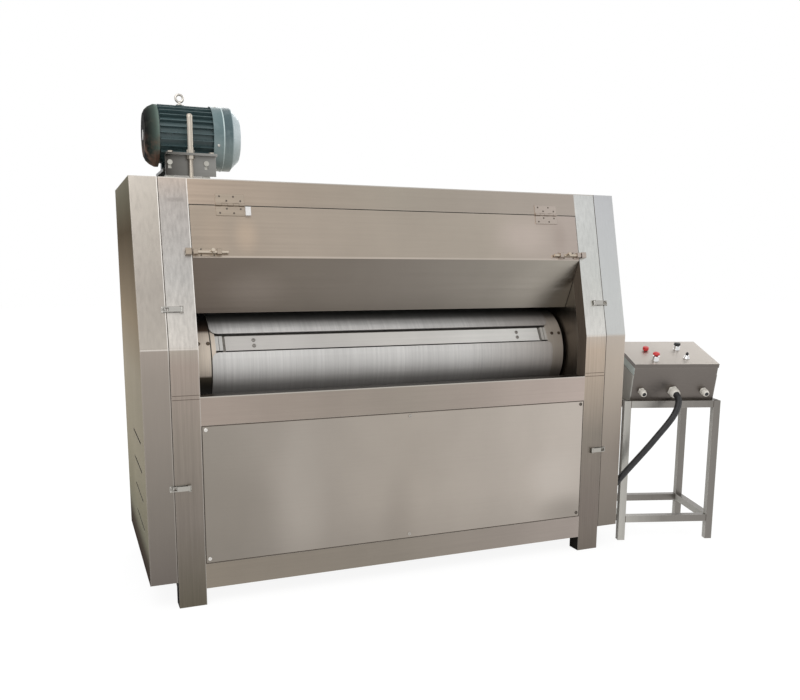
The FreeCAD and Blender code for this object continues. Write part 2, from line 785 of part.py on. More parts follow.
# Toothed wheels of the chain drive, drawn tooth by tooth from the sheet's values.
def sprocket(teeth, pitch_radius, bore, x_low, thick):
    dots = []
    for i in range(teeth):
        for share, radius in ((-0.32, -5), (-0.13, 1), (0.13, 1), (0.32, -5)):
            turn = 2 * math.pi * (i + share) / teeth
            r = pitch_radius + (S["tooth_height"] if radius > 0 else radius)
            dots.append(FreeCAD.Vector(x_low, r * math.cos(turn), r * math.sin(turn)))
    wire = Part.makePolygon(dots + [dots[0]])
    disc = Part.Face(wire).extrude(FreeCAD.Vector(thick, 0, 0))
    if bore <= 0:
        return disc
    hole = Part.makeCylinder(bore, thick + 2, FreeCAD.Vector(x_low - 1, 0, 0),
                             FreeCAD.Vector(1, 0, 0))
    return disc.cut(hole)


GEAR_PITCH = S["drum_pitch_radius"] * S["gear_teeth"] / S["drum_teeth"]
wheel = coded("drum_sprocket", sprocket(S["drum_teeth"], S["drum_pitch_radius"],
                                        S["drum_shaft_radius"], S["sprocket_x"],
                                        S["sprocket_thick"]))
node("drum_sprocket", wheel, spot(0, "drum_y", "drum_z"))

GEAR = spot(0, "drum_y", "gear_z")
wheel = coded("gear_sprocket", sprocket(S["gear_teeth"], GEAR_PITCH, 0, S["sprocket_x"],
                                        S["sprocket_thick"]))
stub = rod("x", "gear_shaft_radius", "opening_width / 2 - gearbox_length",
           "sprocket_x + sprocket_thick + shaft_overhang", 0, 0)
node("gearmotor_sprocket", joined(wheel, stub), GEAR)

# Worm gearmotor on the inner face of the right side wall.
body = new_body("gearmotor")
INNER = "opening_width / 2"
gear_bore = circle(0, 0, "gear_shaft_radius + running_gap")
half = "gearbox_half"
pad(body, "yz", [rect("-gearbox_half - 20", "gearbox_half + 20", "-gearbox_half - 20",
                      "gearbox_half + 20"), gear_bore], INNER + " - gear_flange", INNER)
pad(body, "yz", [rect("-gearbox_half", "gearbox_half", "-gearbox_half", "gearbox_half")],
    INNER + " - gear_flange - gearbox_length", INNER + " - gear_flange")
hollow(body, "yz", [gear_bore], INNER + " - gearbox_length", INNER)
MOTOR_AT = INNER + " - gear_flange - gearbox_length / 2"
pad(body, "xz", [circle(MOTOR_AT, -20, "gear_motor_radius")], "gearbox_half",
    "gearbox_half + gear_motor_length")
node("drum_gearmotor", body, GEAR)


# Chain: two plate loops, one each side of the wheels, tied by pins on the straight runs.
def chain():
    span = S["drum_z"] - S["gear_z"]
    big, small = S["drum_pitch_radius"], GEAR_PITCH
    lift = (big - small) / span
    flat = math.sqrt(1 - lift * lift)

    def loop(grow, x_low, thick):
        start = math.asin(lift)
        dots = []
        for radius, z, low, high, count in ((big + grow, span, start, math.pi - start, 16),
                                            (small + grow, 0, math.pi - start,
                                             2 * math.pi + start, 8)):
            for k in range(count + 1):
                turn = low + (high - low) * k / count
                dots.append(FreeCAD.Vector(x_low, radius * math.cos(turn),
                                           z + radius * math.sin(turn)))
        return Part.Face(Part.makePolygon(dots + [dots[0]])).extrude(FreeCAD.Vector(thick, 0, 0))

    near = S["sprocket_x"] - S["chain_gap"] - S["chain_plate"]
    far = S["sprocket_x"] + S["sprocket_thick"] + S["chain_gap"]
    plates = []
    for x_low in (near, far):
        ring = loop(S["chain_half"], x_low, S["chain_plate"])
        plates.append(ring.cut(loop(-S["chain_half"], x_low - 1, S["chain_plate"] + 2)))
    pins = []
    for side in (-1, 1):
        for share in (0.38, 0.46, 0.54, 0.62):
            radius = small + (big - small) * share
            y = side * radius * flat
            z = span * share + radius * lift
            pins.append(Part.makeCylinder(4, far - near, FreeCAD.Vector(near, y, z),
                                          FreeCAD.Vector(1, 0, 0)))
    return plates[0].fuse([plates[1]] + pins)


node("drive_chain", coded("chain", chain()), GEAR)

# Blade roller with helical blades, left-handed and right-handed from the middle.
body = new_body("blade_roller")
pad(body, "yz", [circle(0, 0, "roller_radius")], "-roller_half_length", "roller_half_length")
pad(body, "yz", [circle(0, 0, "roller_shaft_radius")], "-(pulley_inner + pulley_width + 5)",
    "-roller_half_length")
pad(body, "yz", [circle(0, 0, "roller_shaft_radius")], "roller_half_length",
    "%s + boss_length + shaft_overhang" % FACE)
node("blade_roller", body, ROLLER)


def helical_blades():
    steps = 5
    foot, tip, half = S["roller_radius"] - 3, S["blade_tip_radius"], S["blade_thick"] / 2
    length = S["roller_half_length"] - 5
    blades = []
    for hand in (-1, 1):
        for i in range(S["blade_count"]):
            wires = []
            for k in range(steps + 1):
                x = hand * (1 + (length - 1) * k / steps)
                turn = 2 * math.pi * i / S["blade_count"]
                turn += math.radians(S["blade_twist"]) * k / steps
                c, s = math.cos(turn), math.sin(turn)
                corners = [(foot, -half), (tip, -half), (tip, half), (foot, half)]
                dots = [FreeCAD.Vector(x, r * c - t * s, r * s + t * c) for r, t in corners]
                wires.append(Part.makePolygon(dots + [dots[0]]))
            blades.append(Part.makeLoft(wires, True, True))
    return Part.makeCompound(blades)


node("helical_blades", coded("blades", helical_blades()), ROLLER)

body = new_body("roller_pulley")
left = "-(pulley_inner + pulley_width)"
profile = [(left, "roller_shaft_radius"), (left, "pulley_radius")]
for i in range(2):
    start = left + " + 5 + %d * pulley_width / 2" % i
    profile += [(start, "pulley_radius"), (start + " + groove_width / 2",
                                           "pulley_radius - groove_depth"),
                (start + " + groove_width", "pulley_radius")]
profile += [("-pulley_inner", "pulley_radius"), ("-pulley_inner", "roller_shaft_radius")]
turned(body, profile)
node("roller_pulley", body, ROLLER)

# Hood: upper plate in the plane of the posts, lower plate folded inwards.
body = new_body("hood_panel")
hood_top = "slit_height - slit_gap"
wide = HALF + " - hood_side_gap"
fold_y = slope_y("fold_height")
pad(body, "yz", [[(slope_y(hood_top), hood_top), (slope_y(hood_top) + " + sheet_thick", hood_top),
                  (fold_y + " + sheet_thick", "fold_height"),
                  ("hood_edge_y + sheet_thick", "hood_edge_z"), ("hood_edge_y", "hood_edge_z"),
                  (fold_y, "fold_height")]], "-(%s)" % wide, wide)
below = "slit_height - hood_flange - 10"
for side in (-1, 1):
    low, high = side_range(side, wide + " - sheet_thick", wide)
    pad(body, "yz", [[(slope_y(below) + " + 1", below),
                      (slope_y(below) + " + hood_flange", below),
                      (fold_y + " + hood_flange", "fold_height"),
                      ("hood_edge_y + hood_flange", "hood_edge_z"),
                      ("hood_edge_y + 1", "hood_edge_z"),
                      (fold_y + " + 1", "fold_height")]], low, high)
pad(body, "yz", [rect("hood_edge_y + 1", "hood_edge_y + hood_flange", "hood_edge_z",
                      "hood_edge_z + sheet_thick")], "-(%s)" % wide, wide)
node("hood_panel", body)


# Butt hinges. In the slope frame Y runs inwards and Z runs up the slope. Knuckles 1, 3 and 5
# and the pin belong to the leaf on the header, knuckles 2 and 4 to the leaf on the hood.
def hinge_leaves(fixed):
    slit = along("slit_height")
    items = []
    for centre in ("-hinge_x", "hinge_x"):
        body = new_body("hinge_leaf")
        left = centre + " - hinge_width / 2"
        if fixed:
            span = (slit + " + leaf_clear", slit + " + leaf_height")
            tab = (slit, slit + " + leaf_clear")
            used = (0, 2, 4)
        else:
            span = (slit + " - leaf_height", slit + " - leaf_clear")
            tab = (slit + " - leaf_clear", slit)
            used = (1, 3)
        pad(body, "xz", [rect(left, left + " + hinge_width", *span)], "-leaf_thick", 0)
        bore = "pin_radius + running_gap"
        for i in used:
            low = left + " + %d * hinge_width / 5 + knuckle_gap / 2" % i
            high = left + " + %d * hinge_width / 5 - knuckle_gap / 2" % (i + 1)
            pad(body, "yz", [gon("-knuckle_offset", slit, "knuckle_radius", 12)], low, high)
            pad(body, "xz", [rect(low, high, *tab)], "-leaf_thick", "-knuckle_gap")
            if not fixed:
                hollow(body, "yz", [circle("-knuckle_offset", slit, bore)], low, high)
        if fixed:
            pad(body, "yz", [circle("-knuckle_offset", slit, "pin_radius")],
                left + " + 1", left + " + hinge_width - 1")
        items.append(body)
    return group(*items)


node("header_hinge_leaves", hinge_leaves(True), SLOPE)
node("hood_hinge_leaves", hinge_leaves(False), SLOPE)

# Barrel bolts on the hood and their keepers on the posts.
BOLT_S = along("bolt_height")
axis_spot = ("-bolt_offset", BOLT_S)
body = new_body("bolt_barrels")
for side in (-1, 1):
    low, high = side_range(side, "barrel_inner", "barrel_outer")
    pad(body, "xz", [rect(low, high, BOLT_S + " - 14", BOLT_S + " + 14")], "-2", 0)
    for inner, outer in (("barrel_inner", "barrel_inner + barrel_loop"),
                         ("barrel_outer - barrel_loop", "barrel_outer")):
        pad(body, "yz", [rect("-bolt_offset * 2", -1, BOLT_S + " - 9", BOLT_S + " + 9"),
                         circle(*(axis_spot + ("bolt_radius + running_gap * 2",)))],
            *side_range(side, inner, outer))
node("bolt_barrels", body, SLOPE)

body = new_body("bolt_keepers")
for side in (-1, 1):
    pad(body, "yz", [rect("-bolt_offset * 2", 0, BOLT_S + " - 11", BOLT_S + " + 11"),
                     circle(*(axis_spot + ("bolt_radius + keeper_gap",)))],
        *side_range(side, "keeper_inner", "keeper_outer"))
node("bolt_keepers", body, SLOPE)

for side, name in ((-1, "left_bolt_rod"), (1, "right_bolt_rod")):
    low, high = side_range(side, "bolt_tail", "bolt_tip")
    bar = rod("x", "bolt_radius", low, high, *axis_spot)
    knob_x = "%d * bolt_knob_x" % side
    stem = rod("y", 4, "-bolt_offset - 20", "-bolt_offset", knob_x, BOLT_S)
    ball = rod("y", 6.5, "-bolt_offset - 28", "-bolt_offset - 17", knob_x, BOLT_S)
    node(name, joined(bar, stem, ball), SLOPE)

# White position sensor beside the left hinge, on the hood.
SENSOR_S = along("slit_height - slit_gap")
node("hood_sensor", group(block(("sensor_x - 9", "sensor_x + 9"), (-12, 0),
                                (SENSOR_S + " - 34", SENSOR_S + " - 4"))), SLOPE)


# Toggle latches of the side covers. The lever turns about an upright pin in the base's ears,
# and its wire loop passes round a tab on the cover.
def latch_frame(high):
    if high:
        return SLOPE, along("latch_high")
    return spot(0, 0, 0), "latch_low"


mountings = []
for high in (True, False):
    frame, level = latch_frame(high)
    for side in (-1, 1):
        body = new_body("latch_base")
        pad(body, "xz", [rect(*(side_range(side, "latch_pin_x - 7", "latch_base_end")
                                + (level + " - latch_half", level + " + latch_half")))], "-2", 0)
        ears = rect(*(side_range(side, "latch_pin_x - 6", "latch_pin_x + 6")
                      + ("-latch_offset - 5", -1)))
        hole = circle("%d * latch_pin_x" % side, "-latch_offset", "latch_pin_radius + running_gap")
        pad(body, "xy", [ears, hole], level + " - latch_half", level + " - latch_half + 2")
        pad(body, "xy", [ears, hole], level + " + latch_half - 2", level + " + latch_half")
        mountings.append(put(body, frame))
        body = new_body("latch_catch")
        pad(body, "xz", [rect(*(side_range(side, "catch_x - 5", "catch_x + catch_thick + 8")
                                + (level + " - latch_half", level + " + latch_half")))],
            "-1.5", 0)
        pad(body, "xz", [rect(*(side_range(side, "catch_x", "catch_x + catch_thick")
                                + (level + " - 4.5", level + " + 4.5")))], "-12", "-1")
        mountings.append(put(body, frame))
node("latch_mountings", group(*mountings))

for high, row in ((True, "upper"), (False, "lower")):
    frame, level = latch_frame(high)
    for side, hand in ((-1, "left"), (1, "right")):
        pin_x = "%d * latch_pin_x" % side
        bar_x = "%d * (catch_x + catch_thick + loop_wire + loop_gap)" % side
        inside = "latch_half - 2.4"
        pin = rod("z", "latch_pin_radius", level + " - latch_half", level + " + latch_half",
                  pin_x, "-latch_offset")
        barrel = rod("z", 4, "%s - (%s)" % (level, inside), "%s + (%s)" % (level, inside),
                     pin_x, "-latch_offset")
        plate = block(side_range(side, "latch_pin_x", "latch_lever_end"),
                      ("-latch_offset - 2.2", "-latch_offset + 0.3"),
                      ("%s - (%s)" % (level, inside), "%s + (%s)" % (level, inside)))
        wires = []
        for sign in (-1, 1):
            z = "%s + %d * 7" % (level, sign)
            wires.append(block(side_range(side, "latch_lever_end - 14",
                                          "catch_x + catch_thick + loop_wire + loop_gap + 0.6"),
                               ("-latch_offset - 0.3", "-latch_offset + 2.8"),
                               (z + " - 1.5", z + " + 1.5")))
        cross = rod("z", "loop_wire + 0.2", level + " - 7 - loop_wire", level + " + 7 + loop_wire",
                    bar_x, "-latch_offset + 1.2")
        node("%s_%s_latch" % (row, hand), joined(pin, barrel, plate, cross, *wires), frame)

# Motor support on the roof: base plate, two uprights for the clamping bolts, and the
# adjusting rod that stands on the base.
BASE_TOP = "top_height + base_thick"
UP_FRONT = "apron_front + apron_thick + slide_gap"
items = [block(("-plate_left", "-plate_right"), ("apron_front - apron_flange", "motor_y + 120"),
               ("top_height", BASE_TOP))]
for x in ("clamp_left", "clamp_right"):
    items.append(block(("-%s - 14" % x, "-%s + 14" % x), (UP_FRONT, UP_FRONT + " + 8"),
                       ("top_height", "clamp_z + 24")))
    items.append(rod("y", "clamp_radius", "apron_front - slide_gap", UP_FRONT + " + 12",
                     "-" + x, "clamp_z"))
    items.append(rod("y", "clamp_head", "apron_front - slide_gap - 6", "apron_front - slide_gap",
                     "-" + x, "clamp_z"))
items.append(rod("z", "rod_radius", "top_height", "rod_top", "-rod_x", "rod_y"))
node("motor_support", joined(*items))

# Motor carriage: plate with front apron and the flange that the rod passes.
body = new_body("motor_plate")
pad(body, "xz", [rect("-plate_left", "-plate_right", "apron_low", "apron_high")]
    + [rect("-%s - 6" % x, "-%s + 6" % x, "clamp_z - 6 - slide_travel", "clamp_z + 6")
       for x in ("clamp_left", "clamp_right")], "apron_front", "apron_front + apron_thick")
pad(body, "xy", [rect("-plate_left", "-plate_right", "apron_front - apron_flange",
                      "apron_front"), circle("-rod_x", "rod_y", "rod_radius + 1")],
    "apron_high - 8", "apron_high")
pad(body, "xy", [rect("-clamp_left + 18", "-clamp_right - 18", "apron_front + apron_thick",
                      "motor_y - 100")],
    "plate_level", "plate_level + motor_plate_thick")
pad(body, "xy", [rect("-plate_left - 6", "-plate_right - 6", "motor_y - 112", "motor_y + 112")],
    "plate_level", "plate_level + motor_plate_thick")
node("motor_plate", body)

# Finned motor frame with its feet and the boss of the lifting eye.
core = new_body("stator")
pad(core, "yz", [circle(0, 0, "motor_body_radius"), circle(0, 0, "stator_bore")],
    "-shield_edge", "-frame_edge")
items = [core]
for i in range(int(S["fin_count"])):
    turn = 360.0 * i / S["fin_count"]
    if 228 <= turn <= 312:
        continue
    frame = spot(0, 0, 0, (1, 0, 0), "%g" % turn)
    items.append(block(("-shield_edge + 4", "-frame_edge"), ("motor_body_radius - 4", "fin_radius"),
                       ("-fin_thick / 2", "fin_thick / 2"), frame))
FEET = "plate_level + motor_plate_thick - motor_z"
for y in ("-88", "56"):
    items.append(block(("-shield_edge + 20", "-frame_edge - 20"), (y, y + " + 32"),
                       (FEET, "-62")))
items.append(block(("-eye_x - 15", "-eye_x + 15"), (-15, 15), (80, 113)))
items.append(block(("-eye_x - 45", "-eye_x + 45"), (80, 150), (-38, 42)))
node("motor_frame", joined(*items), MOTOR)

body = new_body("end_shields")
bore_r = "motor_shaft_radius + running_gap"
turned(body, [("-shield_edge", bore_r), ("-shield_edge", "shield_radius"),
              ("-shield_edge - 12", "shield_radius"), ("-shield_edge - 30", "shield_radius - 9"),
              ("-motor_drive_end + 6", "shield_radius - 20"), ("-motor_drive_end", "shield_radius - 32"),
              ("-motor_drive_end", bore_r)])
other = new_body("rear_shield")
pad(other, "yz", [circle(0, 0, "motor_body_radius + 2"), circle(0, 0, bore_r)],
    "-frame_edge", "-frame_edge + 12")
for wide, arm in ((8, "cowl_radius - cowl_wall - 1"), (2.5, "cowl_radius - cowl_wall - 0.15")):
    for loop in (rect("-(%s)" % arm, "-motor_body_radius", -wide, wide),
                 rect("motor_body_radius", arm, -wide, wide),
                 rect(-wide, wide, "-(%s)" % arm, "-motor_body_radius"),
                 rect(-wide, wide, "motor_body_radius", arm)):
        pad(other, "yz", [loop], "-frame_edge", "-frame_edge + 12")
node("motor_end_shields", group(body, other), MOTOR)

body = new_body("fan_cowl")
wall = "cowl_radius - cowl_wall"
turned(body, [("-cowl_start", wall), ("-cowl_start", "cowl_radius"), ("-cowl_rim", "cowl_radius"),
              ("-cowl_rim + 1", "cowl_radius - 4"), ("-cowl_end", "cowl_face_radius"),
              ("-cowl_end", 0), ("-cowl_end - cowl_wall", 0),
              ("-cowl_end - cowl_wall", "cowl_face_radius - 1"), ("-cowl_rim - 1", wall + " - 4"),
              ("-cowl_rim - 2", wall)])
vents = []
for i in range(8):
    turn = 2 * math.pi * i / 8
    vents.append(gon("%.4f" % (55 * math.cos(turn)), "%.4f" % (55 * math.sin(turn)), 15, 6))
hollow(body, "yz", vents, "-cowl_end - cowl_wall - 1", "-cowl_end + 1")
node("fan_cowl", body, MOTOR)



def flat_ring(major, minor, links, sides):
    """A ring of straight links with a many-sided section, round the Y axis."""
    rows = []
    for i in range(links):
        turn = 2 * math.pi * i / links
        row = []
        for k in range(sides):
            around = 2 * math.pi * (k + 0.5) / sides
            reach = major + minor * math.cos(around)
            row.append(FreeCAD.Vector(reach * math.cos(turn), minor * math.sin(around),
                                      reach * math.sin(turn)))
        rows.append(row)
    faces = []
    for i in range(links):
        here, after = rows[i], rows[(i + 1) % links]
        for k in range(sides):
            m = (k + 1) % sides
            dots = [here[k], here[m], after[m], after[k]]
            faces.append(Part.Face(Part.makePolygon(dots + [dots[0]])))
    solid = Part.Solid(Part.Shell(faces))
    if solid.Volume < 0:
        solid.reverse()
    return solid


ring = put(coded("ring", flat_ring(S["eye_radius"], S["eye_wire"], 20, 8)),
           spot("-eye_x", "motor_y", "eye_z"))
shank = rod("z", "eye_wire + 1", "motor_z + 113", "eye_z - eye_radius", "-eye_x", "motor_y")
flange = rod("z", 12, "motor_z + 113", "motor_z + 118", "-eye_x", "motor_y")
node("lifting_eye", joined(ring, shank, flange))


def hexagon(x, y, half):
    dots = []
    for i in range(6):
        turn = math.radians(60 * i)
        reach = half * 2 / math.sqrt(3)
        dots.append(("%s + %.4f" % (x, reach * math.cos(turn)),
                     "%s + %.4f" % (y, reach * math.sin(turn))))
    return dots


body = new_body("motor_fasteners")
nut = hexagon("-rod_x", "rod_y", S["nut_half"])
hole = circle("-rod_x", "rod_y", "rod_radius + 0.3")
pad(body, "xy", [nut, hole], "apron_high", "apron_high + nut_height")
pad(body, "xy", [circle("-rod_x", "rod_y", "sleeve_radius"), hole], "apron_high + nut_height",
    "sleeve_top")
pad(body, "xy", [nut, hole], "apron_high - 8 - nut_height", "apron_high - 8")
for x in ("-plate_left + 18", "-plate_right - 18"):
    pad(body, "xy", [hexagon(x, "apron_front - 14", 8)], "apron_high", "apron_high + 6")
node("motor_fasteners", body)

body = new_body("motor_rotor")
pad(body, "yz", [circle(0, 0, "motor_shaft_radius")], "-motor_drive_end - motor_shaft_stub",
    "-fan_end")
pad(body, "yz", [circle(0, 0, "stator_bore - rotor_gap")], "-shield_edge + 12",
    "-frame_edge - 12")
pad(body, "yz", [circle(0, 0, "fan_radius")], "-fan_end - 22", "-fan_end")
node("motor_rotor", body, MOTOR)

# Console stand: four legs, two rings of rails and the side plates that hold the box.
WIDE, DEEP, TUBE = "stand_width", "stand_depth", "stand_tube"


def stand_tube_box(x, y, z, axis):
    spans = {"x": x, "y": y, "z": z}
    inner = {}
    for key, (low, high) in spans.items():
        if key == axis:
            inner[key] = (low, high)
        else:
            inner[key] = ("(%s) + stand_wall" % low, "(%s) - stand_wall" % high)
    return minus(block(x, y, z), block(inner["x"], inner["y"], inner["z"]))


ENDS_X = ((0, TUBE), (WIDE + " - stand_tube", WIDE))
ENDS_Y = ((0, TUBE), (DEEP + " - stand_tube", DEEP))
items = [stand_tube_box(x, y, (0, "stand_height"), "z") for x in ENDS_X for y in ENDS_Y]
for low in ("stand_rail_z", "stand_height - stand_tube"):
    level = (low, low + " + stand_tube")
    items += [stand_tube_box((TUBE, WIDE + " - stand_tube"), y, level, "x") for y in ENDS_Y]
    items += [stand_tube_box(x, (TUBE, DEEP + " - stand_tube"), level, "y") for x in ENDS_X]


def tilt_y(b, c):
    return "box_y + (%s) * cos(box_tilt) - (%s) * sin(box_tilt)" % (b, c)


def tilt_z(b, c):
    return "stand_height + (%s) * sin(box_tilt) + (%s) * cos(box_tilt)" % (b, c)


side_plate = [(tilt_y(2, 0), "stand_height"), (tilt_y("box_depth - 5", 0), "stand_height"),
              (tilt_y("box_depth - 5", 0), tilt_z("box_depth - 5", 0)),
              (tilt_y("box_depth - 5", "bracket_height"), tilt_z("box_depth - 5", "bracket_height")),
              (tilt_y(2, "bracket_height"), tilt_z(2, "bracket_height"))]
for low, high in (("box_x - bracket_thick", "box_x"),
                  ("box_x + box_width", "box_x + box_width + bracket_thick")):
    items.append(pad(new_body("side_plate"), "yz", [side_plate], low, high))
node("console_stand", group(*items), STAND)

# Console box and lid, in the frame of the tilted box: X along its front, Y to the rear.
GLANDS = ("gland_left", "gland_mid", "gland_right")
body = new_body("console_box")
pad(body, "xy", [rect(0, "box_width", 0, "box_depth")], 0, "box_height")
hollow(body, "xy", [rect("box_wall", "box_width - box_wall", "box_wall",
                         "box_depth - box_wall")], "box_wall", "box_height")
hollow(body, "xz", [gon(x, "gland_height", "plug_radius", 8) for x in GLANDS], 0, "box_wall")
node("console_box", body, CONSOLE)

CONTROLS = [("red_a", "red_b", "button_stem"), ("stop_a", "stop_b", "button_stem"),
            ("selector_a", "selector_b", "button_stem"), ("speed_a", "speed_b", "pin_radius")]
body = new_body("console_lid")
lap = rect("-lid_lap", "box_width + lid_lap", "-lid_lap", "box_depth + lid_lap")
pad(body, "xy", [lap] + [circle(a, b, stem + " + stem_gap") for a, b, stem in CONTROLS],
    "box_height", LID_TOP)
pad(body, "xy", [lap, rect(0, "box_width", 0, "box_depth")], "box_height - lid_rim", "box_height")
node("console_lid", body, CONSOLE)

# Cable glands: three on the console, one elbow on the right cover.
items = []
for x, length, radius in (("gland_left", "gland_length", "gland_radius"),
                          ("gland_mid", "big_gland_length", "big_gland_radius"),
                          ("gland_right", "gland_length", "gland_radius")):
    body = new_body("gland")
    pad(body, "xz", [gon(x, "gland_height", radius, 16)], "-(%s) * 0.4" % length, 0)
    pad(body, "xz", [gon(x, "gland_height", radius + " - 2", 16)], "-(%s) * 0.8" % length,
        "-(%s) * 0.4" % length)
    pad(body, "xz", [gon(x, "gland_height", radius + " - 4", 16)], "-(%s)" % length,
        "-(%s) * 0.8" % length)
    if x == "gland_mid":
        hollow(body, "xz", [circle(x, "gland_height", "conduit_radius")], "-(%s)" % length,
               "-(%s) + conduit_seat" % length)
    else:
        hollow(body, "xz", [gon(x, "gland_height", "plug_radius", 12)], "-(%s)" % length,
               "-(%s) + 8" % length)
    items.append(put(body, CONSOLE))
elbow = joined(rod("x", "elbow_radius", SIDE, "elbow_x", "elbow_y", "elbow_z"),
               rod("y", "elbow_radius + 1", "elbow_y - elbow_reach", "elbow_y + elbow_radius + 3",
                   "elbow_x", "elbow_z"))
seat = rod("y", "conduit_radius", "elbow_y - elbow_reach", "elbow_y - elbow_reach + conduit_seat",
           "elbow_x", "elbow_z")
items.append(minus(elbow, seat))
node("cable_glands", group(*items))

body = new_body("gland_plugs")
pad(body, "xz", [gon(x, "gland_height", "plug_radius", 12) for x in ("gland_left", "gland_right")],
    "-gland_length - 1", "-gland_length + 8")
node("gland_plugs", body, CONSOLE)

# Controls on the lid.
body = new_body("control_collars")
for a, b, outer, inner, height in (
        ("red_a", "red_b", "red_radius + 2.5", "red_radius + stem_gap", "collar_foot"),
        ("stop_a", "stop_b", "collar_wide + 0.5", "button_stem + stem_gap", "stop_collar"),
        ("selector_a", "selector_b", "collar_wide", "button_stem + stem_gap", "collar_height"),
        ("speed_a", "speed_b", "collar_small", "pin_radius + stem_gap", "collar_low")):
    pad(body, "xy", [circle(a, b, outer), circle(a, b, inner)], LID_TOP,
        "%s + %s" % (LID_TOP, height))
pad(body, "xy", [circle("speed_a", "speed_b", "collar_wide"),
                 circle("speed_a", "speed_b", "collar_small - 0.5")], LID_TOP, LID_TOP + " + collar_foot")
node("control_collars", body, CONSOLE)

body = new_body("red_button")
pad(body, "xy", [circle("red_a", "red_b", "button_stem")], LID_TOP + " - 20", LID_TOP + " + 5")
pad(body, "xy", [circle("red_a", "red_b", "red_radius")], LID_TOP + " + 5", LID_TOP + " + 19")
node("red_button", body, CONSOLE)

body = new_body("stop_button")
clear = LID_TOP + " + stop_collar + stop_travel + 1"
pad(body, "xy", [circle("stop_a", "stop_b", "button_stem")], LID_TOP + " - 20", clear)
pad(body, "xy", [circle("stop_a", "stop_b", "stop_radius")], clear, clear + " + 7")
pad(body, "xy", [circle("stop_a", "stop_b", "stop_radius - 4")], clear + " + 7", clear + " + 11")
node("stop_button", body, CONSOLE)

body = new_body("selector")
base = LID_TOP + " + collar_height + stem_gap"
pad(body, "xy", [circle("selector_a", "selector_b", "button_stem")], LID_TOP + " - 20", base)
pad(body, "xy", [circle("selector_a", "selector_b", "selector_radius")], base, base + " + 3")
pad(body, "xy", [rect("selector_a - 4", "selector_a + 4", "selector_b - 12", "selector_b + 12")],
    base + " + 3", base + " + 11")
node("selector_knob", body, CONSOLE)

body = new_body("speed_knob")
base = LID_TOP + " + collar_low + stem_gap"
pad(body, "xy", [circle("speed_a", "speed_b", "pin_radius")], LID_TOP + " - 15", base)
pad(body, "xy", [circle("speed_a", "speed_b", "speed_radius")], base, base + " + 13")
node("speed_knob", body, CONSOLE)


# Conduit: a round tube of straight runs and tangent arcs, from gland to gland.
def console_point(a, b, c):
    tilt, turn = math.radians(S["box_tilt"]), math.radians(S["stand_turn"])
    x = S["box_x"] + a
    y = S["box_y"] + b * math.cos(tilt) - c * math.sin(tilt)
    z = S["stand_height"] + b * math.sin(tilt) + c * math.cos(tilt)
    return FreeCAD.Vector(S["stand_x"] + x * math.cos(turn) + y * math.sin(turn),
                          S["stand_y"] - x * math.sin(turn) + y * math.cos(turn), z)


def conduit():
    seat = S["conduit_seat"]
    out = S["big_gland_length"]
    start = console_point(S["gland_mid"], -out + seat, S["gland_height"])
    lead = console_point(S["gland_mid"], -out - 26, S["gland_height"])
    mouth = S["elbow_y"] - S["elbow_reach"]
    end = FreeCAD.Vector(S["elbow_x"], mouth + seat, S["elbow_z"])
    tail = FreeCAD.Vector(S["elbow_x"], mouth - 41, S["elbow_z"])
    dots = [start, lead] + [FreeCAD.Vector(*p) for p in ROUTE] + [tail, end]
    edges = []
    here = dots[0]
    for i in range(1, len(dots) - 1):
        back, ahead = dots[i - 1] - dots[i], dots[i + 1] - dots[i]
        reach = 0.45 * min(back.Length, ahead.Length)
        turn = math.pi - back.getAngle(ahead)
        radius = reach / math.tan(turn / 2)
        print("conduit corner %d: turn %.0f degrees, radius %.0f mm, runs %.0f and %.0f mm"
              % (i, math.degrees(turn), radius, back.Length, ahead.Length))
        back.normalize()
        ahead.normalize()
        first, last = dots[i] + back * reach, dots[i] + ahead * reach
        middle = back + ahead
        middle.normalize()
        centre = dots[i] + middle * math.hypot(radius, reach)
        top = centre - middle * radius
        edges.append(Part.LineSegment(here, first).toShape())
        edges.append(Part.Arc(first, top, last).toShape())
        here = last
    edges.append(Part.LineSegment(here, dots[-1]).toShape())
    wire = Part.Wire(edges)
    aim = dots[1] - dots[0]
    circle_edge = Part.makeCircle(S["conduit_radius"], dots[0], aim)
    tube = wire.makePipeShell([Part.Wire([circle_edge])], True, True)
    section = math.pi * S["conduit_radius"] ** 2
    print("conduit length %.0f mm, volume over section times length %.4f"
          % (wire.Length, tube.Volume / (section * wire.Length)))
    return tube


node("control_conduit", coded("conduit", conduit()))

doc.recompute()

os.makedirs("parts", exist_ok=True)
bad = []
for item in doc.Objects:
    if any(word in ("Invalid", "Error") for word in item.State):
        bad.append("%s (%s)" % (item.Label, item.State))
total = 0
for name, item in NODES:
    shape = item.Shape
    if shape.isNull() or not shape.isValid() or not shape.Solids:
        bad.append("%s has no valid solid" % name)
        continue
    facets = len(shape.tessellate(1.0)[1])
    total += facets
    box = shape.BoundBox
    print("%-22s solids %2d  facets %5d  x %8.1f %8.1f  y %8.1f %8.1f  z %8.1f %8.1f" % (
        name, len(shape.Solids), facets, box.XMin, box.XMax, box.YMin, box.YMax,
        box.ZMin, box.ZMax))
    shape.exportStep("parts/%s.step" % name)
print("%d nodes, about %d facets" % (len(NODES), total))
if bad:
    raise SystemExit("faults: " + "; ".join(bad))
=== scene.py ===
import bmesh
import bpy
import math
from mathutils import Matrix, Vector


